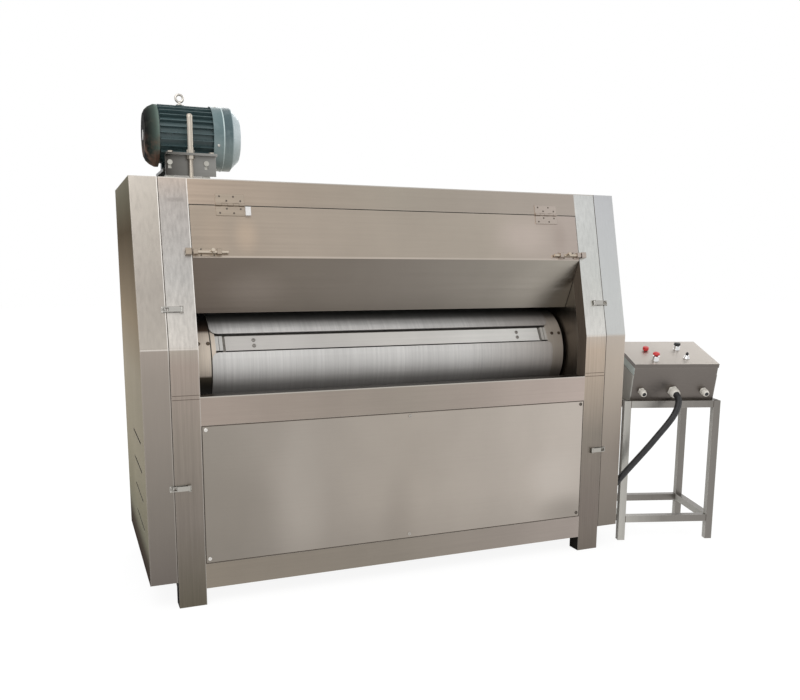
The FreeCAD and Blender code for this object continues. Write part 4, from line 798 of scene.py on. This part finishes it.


# Tones along X: the plates and rings are darker to the right as painted shade, and the bars brighter to the
# right as a painted highlight.
paint(drum_steel("drum_ground", [(-760, (236, 234, 231)), (300, (232, 230, 227)), (760, (186, 178, 171))],
                 patches=(upper_shade,)), "drum_plates")
paint(drum_steel("ring_turned", [(-760, (246, 236, 222)), (300, (242, 232, 218)), (760, (172, 162, 151))],
                 patches=(ring_shade,)), "drum_end_rings")
paint(drum_steel("bar_ground", BARS, "X", 0.06), "clamp_bars")
paint(drum_steel("block_ground", [(-690, (224, 222, 218)), (690, (208, 204, 197))], "Z",
                 patches=(block_groove,)), "guide_blocks")
paint(shaft_steel("core_mill", (128, 124, 118), (120, 116, 110), (0.4, 0.6)), "drum_core")
paint(shaft_steel("roller_turned", (120, 118, 115), (112, 110, 107)), "blade_roller")
paint(shaft_steel("blade_ground", (170, 170, 170), (165, 165, 165)), "helical_blades")
paint(shaft_steel("shaft_turned", (160, 158, 155), (160, 158, 155)), "drum_shaft", "motor_rotor")
paint(iron_look("chain_oiled", (48, 44, 40), (86, 80, 73), 0.38, 260, 0.9),
      "drive_chain", "drum_sprocket", "gearmotor_sprocket")
paint(iron_look("pulley_iron", (62, 62, 62), (92, 91, 90), 0.45), "roller_pulley")
paint(iron_look("bearing_iron", (54, 60, 66), (82, 88, 94), 0.5), "flange_bearings")

# Motor and its support. The shield's black left edge is painted shade, the cowl's pale dome a painted
# reflection, and the plate is darker to the left and low down as painted shade.
SHIELD = [(-881, (12, 13, 13)), (-874, (26, 28, 27)), (-862, (48, 54, 50)), (-846, (74, 86, 80)),
          (-825, (126, 144, 135)), (-802, (140, 158, 148))]
COWL = [(-640, (107, 127, 129)), (-602, (96, 118, 121)), (-600, (70, 90, 94)), (-570, (74, 95, 99)),
        (-566, (186, 202, 206)), (-512, (206, 218, 222))]
MOTOR_PLATE = [(-820, (70, 68, 64)), (-790, (104, 102, 98)), (-700, (142, 141, 137)),
               (-640, (150, 149, 145))]
PLATE_SHADE = (34, 40, 38)


def low_glow(look, colour):
    """The underside of the cowl catches light from the pale roof and wall."""
    return look.tint(colour, look.past("Z", 1665, 1555, 0.75), (176, 192, 192))


def floor_reflection_patch(look, colour):
    """A patchy brown painted reflection of the floor, low on the drive end."""
    spot = look.span(look.noise(22, detail=4.0, shift=2.0), 0.42, 0.6)
    return look.tint(colour, look.both(spot, look.past("Z", 1660, 1600)), (112, 90, 78))


def under_side(look):
    """The plate's underside left of its apron, which is seen from below."""
    return look.both(look.facing(-SKY), look.past("X", -795, -803))


def under_plate(look, colour):
    """The plate's underside and left edge lie in the motor's shade."""
    return look.tint(look.tint(colour, left_face(look), PLATE_SHADE), under_side(look), PLATE_SHADE)


paint(enamel("fin_enamel", (70, 90, 92), (112, 126, 126)), "motor_frame")
paint(enamel("shield_enamel", SHIELD, (84, 84, 76), 0.6, (floor_reflection_patch,), 0.03), "motor_end_shields")
paint(enamel("cowl_enamel", COWL, (150, 166, 168), 0.26, (low_glow,)), "fan_cowl")
paint(enamel("gearmotor_enamel", (74, 92, 94), (118, 132, 132), 0.34), "drum_gearmotor")
paint(steel("motor_plate_satin", MOTOR_PLATE, "X", "X", streaks=0.05, heights=[(1500, 0.8), (1580, 1.0)],
            patches=(under_plate,), dull=under_side), "motor_plate")
paint(steel("support_satin", [(1450, (176, 176, 170)), (1750, (206, 200, 188))]), "motor_support")

# Hinges, bolts, latches and screws. The dark tone on the edges of hinges, bolts and latches is a painted
# shade outline that sets them off from the sheet.
SHADE_OUTLINE = (92, 80, 70)
BRIGHT = steel("bright_steel", [(0, (186, 181, 173)), (1800, (196, 191, 184))],
               streaks=0.05, rough=(0.2, 0.32))
SLEEVE = steel("sleeve_galvanised", [(1500, (196, 188, 176)), (1750, (186, 178, 166))],
               mottle=0.14, rough=(0.35, 0.5))
SCREW = steel("screw_bright", [(-760, (232, 229, 224)), (0, (182, 177, 170)), (760, (92, 86, 80))], "X",
              streaks=0.05, mottle=0.14, rough=(0.22, 0.36), edge=2.0, edge_tone=(150, 141, 130))
# The hinge and bolt-plate screws are dark as painted shade.
DARK_SCREW = steel("screw_dark", [(0, (92, 84, 76)), (1800, (98, 90, 82))],
                   streaks=0.05, mottle=0.16, rough=(0.3, 0.45), edge=0.3)
DRUM_SCREW = steel("drum_screw", [(-621, (104, 92, 80)), (-619, (150, 146, 141)), (619, (140, 136, 130)),
                                  (621, (84, 74, 66))], "X",
                   streaks=0.05, mottle=0.16, rough=(0.3, 0.45), edge=0.6, edge_tone=(70, 64, 58))
paint(BRIGHT, "lifting_eye", "drum_screws", "panel_screws")
paint(SLEEVE, "motor_fasteners")
paint(steel("hinge_satin", [(-700, (166, 153, 138)), (700, (180, 169, 160))], "X", "X", streaks=0.06,
            edge=3.0, edge_tone=SHADE_OUTLINE),
      "header_hinge_leaves", "hood_hinge_leaves", "bolt_barrels", "bolt_keepers")
paint(steel("latch_bright", [(0, (168, 164, 156)), (1800, (190, 188, 184))], grain="X", streaks=0.05,
            rough=(0.18, 0.3), edge=1.6, edge_tone=SHADE_OUTLINE),
      "latch_mountings", "upper_left_latch", "upper_right_latch", "lower_left_latch", "lower_right_latch")
paint(steel("bolt_satin", [(0, (190, 178, 162)), (1800, (198, 186, 170))], grain="X", streaks=0.06,
            rough=(0.25, 0.36), edge=2.0, edge_tone=SHADE_OUTLINE), "left_bolt_rod", "right_bolt_rod")

# Plastic and chrome.
BLACK = plastic("black_plastic", (22, 22, 23), (36, 36, 37), 0.35)
RED = plastic("red_plastic", (206, 44, 46), (224, 66, 66), 0.2)
GLAND = plastic("gland_white", (230, 225, 214), (240, 236, 228), 0.34)
CHROME = steel("collar_polished", [(0, (212, 212, 212)), (1000, (222, 222, 222))],
               streaks=0.02, mottle=0.04, rough=(0.06, 0.14), edge=0.4)
paint(BLACK, "gland_plugs", "selector_knob", "speed_knob")
paint(RED, "red_button", "stop_button")
paint(GLAND, "cable_glands")
paint(CHROME, "control_collars")
paint(plastic("white_plastic", (226, 224, 222), (240, 239, 238), 0.25), "hood_sensor")

# Console: its stand is turned about the upright, and its box lies tilted on it.
STAND_TURN = math.radians(-17.5)
STAND_ALONG = Vector((math.cos(STAND_TURN), math.sin(STAND_TURN), 0))
STAND_BACK = Vector((-math.sin(STAND_TURN), math.cos(STAND_TURN), 0))
STAND = [(1000, (186, 184, 177)), (1060, (172, 169, 163)), (1200, (138, 134, 129)), (1420, (130, 126, 121))]
BOX_SIDE = [(628, (26, 26, 26)), (634, (28, 28, 28)), (638, (226, 236, 233)), (780, (214, 224, 221))]


def dull_side(look):
    return look.facing(-STAND_ALONG)


def front_flange(look, colour):
    """The lid's rim, at its front and left, gets painted shade as dark as the box; only its top edge is
    bright.
    """
    colour = look.tint(colour, look.facing(-STAND_BACK), (116, 110, 105))
    return look.tint(colour, dull_side(look), (122, 116, 110))


def box_side(look, colour):
    """The left side gets a pale painted reflection of the machine's wall; its lower edge is painted black
    as the shadow in the gap above the stand.
    """
    return look.mix(dull_side(look), colour, look.along("Z", BOX_SIDE))


# The stand's sides that look left are paler, as painted light.
def stand_side(look, colour):
    return look.tint(colour, dull_side(look), (196, 194, 188))


# The stand is paler to the left, and the box's front darker than the lid's top, as painted light and shade.
paint(steel("stand_satin", STAND, "X", streaks=0.06, patches=(stand_side,), dull=dull_side),
      "console_stand")
paint(steel("box_satin", [(600, (108, 102, 97)), (830, (121, 115, 110))], grain="X", streaks=0.05,
            patches=(box_side,), dull=dull_side), "console_box")
paint(steel("lid_satin", [(780, (182, 175, 167)), (880, (202, 195, 188))], grain="X", streaks=0.05,
            rough=(0.4, 0.5), patches=(front_flange,)), "console_lid")


# Small turned and pressed pieces.
SLOPE_OUT, SLOPE_UP = leaning(LEAN)


def slope_point(x, out, rise):
    """A point on the sloped front: across, out of its face and up along it."""
    return at(x, 0, KINK) + (SLOPE_OUT * out + SLOPE_UP * rise) * MM


def rise_of(z):
    return (z - KINK) / math.cos(LEAN)


def lathe(bm, base, axis, profile, count=32, closed=False):
    """A turned form from (height, radius) along an axis."""
    axis = axis.normalized()
    side = axis.orthogonal().normalized()
    other = axis.cross(side)
    rings = []
    for height, radius in profile:
        middle = base + axis * height * MM
        if radius > 0:
            rings.append(circle(bm, middle, side, other, radius * MM, count, 0.5))
        else:
            rings.append([bm.verts.new(middle)])
    pairs = list(zip(rings, rings[1:]))
    if closed:
        pairs.append((rings[-1], rings[0]))
    for low, high in pairs:
        band(bm, low, high)
    return rings


# Outlines of the recesses, as shares of the head's radius.
ARM = 0.09
REACH = 0.46
HEXAGON = 0.42
RECESSES = {
    "cross": [(x * c + y * s, y * c - x * s) for c, s in ((1, 0), (0, 1), (-1, 0), (0, -1))
              for x, y in ((ARM, ARM), (REACH, ARM), (REACH, -ARM))],
    "hexagon": [(HEXAGON * math.cos(turn), HEXAGON * math.sin(turn))
                for turn in map(math.radians, range(0, 360, 60))],
}
HEAD = ((0, 1), (0.35, 1), (0.8, 0.88), (1, 0.68))
HEAD_SIDES = 20
RECESS_FLOOR = 0.35


def screw_head(bm, base, axis, size, turn, recess="cross"):
    """A round screw head of (radius, height) with a real recess, on the surface at its base."""
    radius, height = size
    axis = axis.normalized()
    side = Matrix.Rotation(turn, 3, axis) @ axis.orthogonal().normalized()
    other = axis.cross(side)
    profile = [(height * rise, radius * share) for rise, share in HEAD]
    top = lathe(bm, base, axis, profile, HEAD_SIDES)[-1]
    inner = []
    foot = []
    for u, v in RECESSES[recess]:
        place = base + (side * u + other * v) * radius * MM
        inner.append(bm.verts.new(place + axis * height * MM))
        foot.append(bm.verts.new(place + axis * height * RECESS_FLOOR * MM))
    edges = []
    for loop in (top, inner):
        for first, second in zip(loop, loop[1:] + loop[:1]):
            edges.append(bm.edges.get((first, second)) or bm.edges.new((first, second)))
    bmesh.ops.triangle_fill(bm, edges=edges, use_beauty=True)
    band(bm, inner, foot)
    bm.faces.new(foot)


BEAD_STEP = 0.75
BEAD_WAVE = (1, 0.82, 0.7, 0.82)
BEAD_SIDES = 8


def bead(bm, start, end, radius):
    """A rippled weld bead along a line."""
    path = spaced([start, end], BEAD_STEP * MM)
    radii = [radius * MM * BEAD_WAVE[i % len(BEAD_WAVE)] for i in range(len(path))]
    tube(bm, path, radii, BEAD_SIDES)


# Screws of the front panel. Every recess here and below is turned its own way.
PANEL_SCREW = (7, 3)
bm = bmesh.new()
for x in (-760, 0, 760):
    for z in (168, 630):
        screw_head(bm, at(x, 0, z), FRONT, PANEL_SCREW, 0.3 + x * 0.01 + z)
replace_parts(new_piece("front_panel_screw_heads", bm, SCREW, "frame", False), "panel_screws")

# Screws of the drum: pairs on the clamping bars, single rows on the end rings.
DRUM_OUT, DRUM_UP = leaning(math.radians(28.5))
DRUM_MIDDLE = at(0, 330, 822)
DRUM_HEAD = (7, 4)
BAR_FACE = 178
RING_FACE = 183.4
bm = bmesh.new()
for way in (1, -1):
    for x in (-550, 550):
        for y in (-11, 11):
            base = DRUM_MIDDLE + (ACROSS * x + DRUM_UP * y + DRUM_OUT * way * BAR_FACE) * MM
            screw_head(bm, base, DRUM_OUT * way, DRUM_HEAD, x + y, "hexagon")
    for x in (-750, -716, 716, 750):
        base = DRUM_MIDDLE + (ACROSS * x + DRUM_OUT * way * RING_FACE) * MM
        screw_head(bm, base, DRUM_OUT * way, DRUM_HEAD, x, "hexagon")
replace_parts(new_piece("drum_screw_heads", bm, DRUM_SCREW, "drum", False), "drum_screws")

# Screws of the hinges, barrel bolts and catches.
HINGE_ROWS = (("header_hinge_screws", "frame", (14, 29)), ("hood_hinge_screws", "hood", (-14, -29)))
HINGE_SCREW = (3.4, 0.9)
HINGE_PLACE = 634
HINGE_RISE = rise_of(1392)
HINGE_FACE = 2.5
BOLT_SCREW = (3, 0.9)
BOLT_RISE = rise_of(1230)
BOLT_FACE = 2
CATCH_SCREW = (2.6, 0.9)
CATCH_PLACE = 884
CATCH_RISE = rise_of(1040)
CATCH_LOW = 432
CATCH_FACE = 1.5
for name, body, rows in HINGE_ROWS:
    bm = bmesh.new()
    for centre in (-HINGE_PLACE, HINGE_PLACE):
        for i, x in enumerate((-36, -12, 12, 36)):
            place = slope_point(centre + x, HINGE_FACE, HINGE_RISE + rows[(i + 1) % 2])
            screw_head(bm, place, SLOPE_OUT, HINGE_SCREW, i + centre)
    new_piece(name, bm, DARK_SCREW, body, False)
bm = bmesh.new()
for side in (-1, 1):
    for x in (700, 744):
        for rise in (-10.5, 10.5):
            place = slope_point(side * x, BOLT_FACE, BOLT_RISE + rise)
            screw_head(bm, place, SLOPE_OUT, BOLT_SCREW, x + rise)
new_piece("bolt_plate_screws", bm, DARK_SCREW, "hood", False)
bm = bmesh.new()
for x in (-CATCH_PLACE, CATCH_PLACE):
    for rise in (-7.5, 7.5):
        screw_head(bm, slope_point(x, CATCH_FACE, CATCH_RISE + rise), SLOPE_OUT, CATCH_SCREW, rise)
        screw_head(bm, at(x, -CATCH_FACE, CATCH_LOW + rise), FRONT, CATCH_SCREW, rise + math.copysign(1, x))
new_piece("catch_screws", bm, SCREW, "frame", False)

# Weld beads: across the posts beside the feed beam, and at the corners of the console stand.
WELD = steel("weld_bead", [(0, (98, 87, 77)), (1800, (112, 101, 90))],
             streaks=0.1, mottle=0.2, rough=(0.3, 0.5), edge=0.4)
POST_BEAD = 1.1
POST_SPAN = (777, 868)
STAND_BEAD = 1.3
STAND_CORNER = (1016.7, 47.4)
bm = bmesh.new()
for side, levels in ((-1, (738, 752)), (1, (744, 757))):
    for z in levels:
        bead(bm, *[at(side * x, -0.3, z) for x in POST_SPAN], POST_BEAD)
new_piece("post_welds", bm, WELD, "frame")


def stand_point(a, b, z):
    """A point by its place along the stand, towards its back, and its height."""
    return at(*STAND_CORNER, z) + (STAND_ALONG * a + STAND_BACK * b) * MM


bm = bmesh.new()
for low in (80, 590):
    corners = [(a, b) for a in (30, 395) for b in (-0.2, 360.2)]
    corners += [(a, b) for b in (30, 330) for a in (-0.2, 425.2)]
    for a, b in corners:
        bead(bm, stand_point(a, b, low + 1), stand_point(a, b, low + 29), STAND_BEAD)
new_piece("stand_welds", bm, WELD, "frame")

# Motor trim: rolled bead and screws of the cowl, lifting eye, cap and thread of the adjusting rod.
MOTOR = at(0, 470, 1657)
COWL_SCREW = (5, 2.4)
COWL_SCREW_X = -622
COWL_RADIUS = 116.8
EYE = (-744, 470)
EYE_FOOT = 1770
EYE_MIDDLE = 1796
EYE_RADIUS = 13.5
EYE_WIRE = 4.5
ROD = (-732, 313)
SLEEVE_TOP = 1711
THREAD_FOOT = 1491
THREAD_STEP = 0.6
THREAD_POINTS = 118
THREAD_ROOT = 7.6
THREAD_CREST = 8.15
bm = bmesh.new()
lathe(bm, MOTOR, ACROSS,
      [(-603.2, 116.6), (-602.2, 118.4), (-600.6, 118.7), (-599, 118.4), (-598, 116.6)], 96)
new_piece("cowl_bead", bm, enamel("bead_enamel", (196, 212, 212), (220, 230, 230), 0.2),
          "motor_carriage")
bm = bmesh.new()
for turn in range(18, 360, 90):
    way = Matrix.Rotation(math.radians(turn), 3, "X") @ FRONT
    screw_head(bm, MOTOR + (ACROSS * COWL_SCREW_X + way * COWL_RADIUS) * MM, way, COWL_SCREW, 0.4)
new_piece("cowl_screws", bm, SCREW, "motor_carriage", False)
bm = bmesh.new()
wire = [(EYE_WIRE * math.sin(turn), EYE_RADIUS + EYE_WIRE * math.cos(turn))
        for turn in map(math.radians, range(0, 360, 30))]
lathe(bm, at(*EYE, EYE_MIDDLE), -FRONT, wire, 40, closed=True)
lathe(bm, at(*EYE, EYE_FOOT), SKY,
      [(0, 0), (0, 12), (3.6, 12), (5, 10.5), (5, 6.2), (9, 5.4), (13.5, 6.2), (14, 0)])
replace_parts(new_piece("eye_bolt", bm, BRIGHT, "motor_carriage"), "lifting_eye")
bm = bmesh.new()
lathe(bm, at(*ROD, SLEEVE_TOP), SKY, [(-6, 10.4), (0, 10.4), (4, 9.2), (7, 6.2), (8.4, 2.6), (8.6, 0)])
new_piece("sleeve_cap", bm, SLEEVE, "motor_carriage")
bm = bmesh.new()
thread = [(i * THREAD_STEP, THREAD_ROOT if i % 4 in (0, 3) else THREAD_CREST) for i in range(THREAD_POINTS)]
lathe(bm, at(*ROD, THREAD_FOOT), SKY, thread, 20)
new_piece("rod_thread", bm, SLEEVE, "frame")

# Controls of the console, in the frame of the tilted box.
TILT = math.radians(14.5)
BOX_BACK = STAND_BACK * math.cos(TILT) + SKY * math.sin(TILT)
BOX_UP = SKY * math.cos(TILT) - STAND_BACK * math.sin(TILT)
BOX_CORNER = stand_point(30.5, 20, 620)
LID_TOP = 167.5
PUSH_PLACE = (99, 160)
STOP_PLACE = (100, 40)
SELECTOR_PLACE = (244, 172)
SPEED_PLACE = (246, 62)


def box_point(a, b, c):
    return BOX_CORNER + (STAND_ALONG * a + BOX_BACK * b + BOX_UP * c) * MM


def on_lid(bm, place, profile, count=40):
    """A turned form that stands on the lid."""
    lathe(bm, box_point(*place, LID_TOP), BOX_UP, profile, count)


bm = bmesh.new()
on_lid(bm, STOP_PLACE,
       [(0, 0), (0, 15), (2, 15.2), (3, 14.2), (20, 14.2), (22, 13.4), (22, 8.4), (18, 8.4)])
on_lid(bm, SELECTOR_PLACE,
       [(0, 0), (0, 14.6), (3, 14.8), (4, 13.6), (18, 13.6), (20, 12.6), (20, 8.4), (17, 8.4)])
on_lid(bm, SPEED_PLACE,
       [(0, 0), (0, 14.2), (3, 14.4), (5, 13.2), (15.5, 8.2), (17, 7.4), (17, 2.9), (14, 2.9)])
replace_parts(new_piece("chrome_collars", bm, CHROME, "frame"), "control_collars")
bm = bmesh.new()
on_lid(bm, PUSH_PLACE,
       [(-18, 0), (-18, 8), (5, 8), (5, 12.6), (6, 13), (16.5, 12.8), (18.4, 11.6), (19, 9), (18.4, 0)])
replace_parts(new_piece("red_push_cap", bm, RED, "red_push"), "red_button")
bm = bmesh.new()
on_lid(bm, STOP_PLACE,
       [(-18, 0), (-18, 8), (27, 8), (28, 10.5), (28.3, 14.4), (30, 15.2), (33, 15), (36, 13.6),
        (38.2, 9.8), (39, 4), (39, 0)], 48)
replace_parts(new_piece("stop_mushroom", bm, RED, "stop_push"), "stop_button")

# The selector's grip is a rounded bar in (height, half width, half length), on a turned foot.
GRIP = ((23.4, 9.5, 13.6), (30.5, 9.0, 13.2), (32.0, 7.6, 12.0))
GRIP_SIDES = 24
GRIP_POWER = 0.4


def rounded(value):
    return math.copysign(abs(value) ** GRIP_POWER, value)


bm = bmesh.new()
on_lid(bm, SELECTOR_PLACE,
       [(-18, 0), (-18, 8), (20.3, 8), (20.3, 12.4), (21, 13), (23, 13), (23.6, 12.2), (23.6, 0)])
spot = box_point(*SELECTOR_PLACE, LID_TOP)
grip = []
for level, wide, long in GRIP:
    row = []
    for k in range(GRIP_SIDES):
        turn = 2 * math.pi * k / GRIP_SIDES
        u = rounded(math.cos(turn)) * long
        v = rounded(math.sin(turn)) * wide
        row.append(bm.verts.new(spot + (STAND_ALONG * u + BOX_BACK * v + BOX_UP * level) * MM))
    grip.append(row)
for low, high in zip(grip, grip[1:]):
    band(bm, low, high)
bm.faces.new(grip[-1])
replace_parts(new_piece("selector_cap", bm, BLACK, "selector"), "selector_knob")
bm = bmesh.new()
on_lid(bm, SPEED_PLACE,
       [(-14, 0), (-14, 2.4), (17.3, 2.4), (17.3, 6), (18.5, 6.5), (24, 6.1), (27.5, 4.4), (29.6, 2.6),
        (30.3, 0)], 32)
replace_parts(new_piece("speed_pointer", bm, BLACK, "speed"), "speed_knob")

# Cable glands: six-sided nut and ribbed dome, with a black plug or the conduit in its mouth.
GLANDS = ((43, 38, 15, 8.5), (182, 42, 21.5, 14.1), (317, 38, 15, 8.5))
GLAND_RISE = 43
GLAND_RIBS = 18
OPEN_MOUTH = 10
ELBOW_START = at(965, 190, 228)
ELBOW = [ELBOW_START, at(975, 190, 228), at(981, 189, 228), at(984, 184, 228), at(985, 176, 228),
         at(985, 158, 228)]
ELBOW_RADII = (16, 16, 16.5, 16.5, 16.5, 16.5)
bm = bmesh.new()
plugs = bmesh.new()
for a, length, radius, mouth in GLANDS:
    base = box_point(a, 0, GLAND_RISE)
    nut = [(0, 0), (0, radius * 1.12), (7, radius * 1.12), (8, radius * 1.02), (8, 0)]
    lathe(bm, base, -BOX_BACK, nut, 6)
    dome = [(8, radius * 0.95), (10, radius), (length * 0.5, radius * 0.99), (length * 0.74, radius * 0.93),
            (length * 0.9, radius * 0.84), (length - 0.6, max(radius * 0.68, mouth + 1.4)),
            (length, mouth + 0.6), (length, mouth), (length - 6, mouth), (length - 6, 0)]
    lathe(bm, base, -BOX_BACK, dome, 40)
    for k in range(GLAND_RIBS):
        turn = 2 * math.pi * k / GLAND_RIBS
        out = STAND_ALONG * math.cos(turn) + BOX_UP * math.sin(turn)
        start = base + (-BOX_BACK * 12 + out * (radius - 0.2)) * MM
        end = base + (-BOX_BACK * length * 0.7 + out * radius * 0.93) * MM
        tube(bm, [start, start.lerp(end, 0.5) + out * 0.3 * MM, end], [0.5 * MM, 0.8 * MM, 0.4 * MM], 6)
    if mouth < OPEN_MOUTH:
        lathe(plugs, base, -BOX_BACK,
              [(length - 8, 0), (length - 8, mouth), (length - 1.2, mouth), (length - 0.4, mouth - 1),
               (length - 0.4, 0)])
tube(bm, ELBOW, [radius * MM for radius in ELBOW_RADII], 32)
lathe(bm, ELBOW_START, ACROSS, [(0, 0), (0, 18), (7, 18), (8, 17), (8, 0)], 6)
lathe(bm, at(985, 161, 228), FRONT,
      [(0, 0), (0, 18), (2, 18.6), (12, 18.4), (15, 16.4), (16, 14.6), (16, 14.1), (10, 14.1)], 40)
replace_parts(new_piece("gland_domes", bm, GLAND, "frame"), "cable_glands")
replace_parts(new_piece("gland_plug_discs", plugs, BLACK, "frame"), "gland_plugs")

bpy.context.scene.view_settings.view_transform = "Standard"
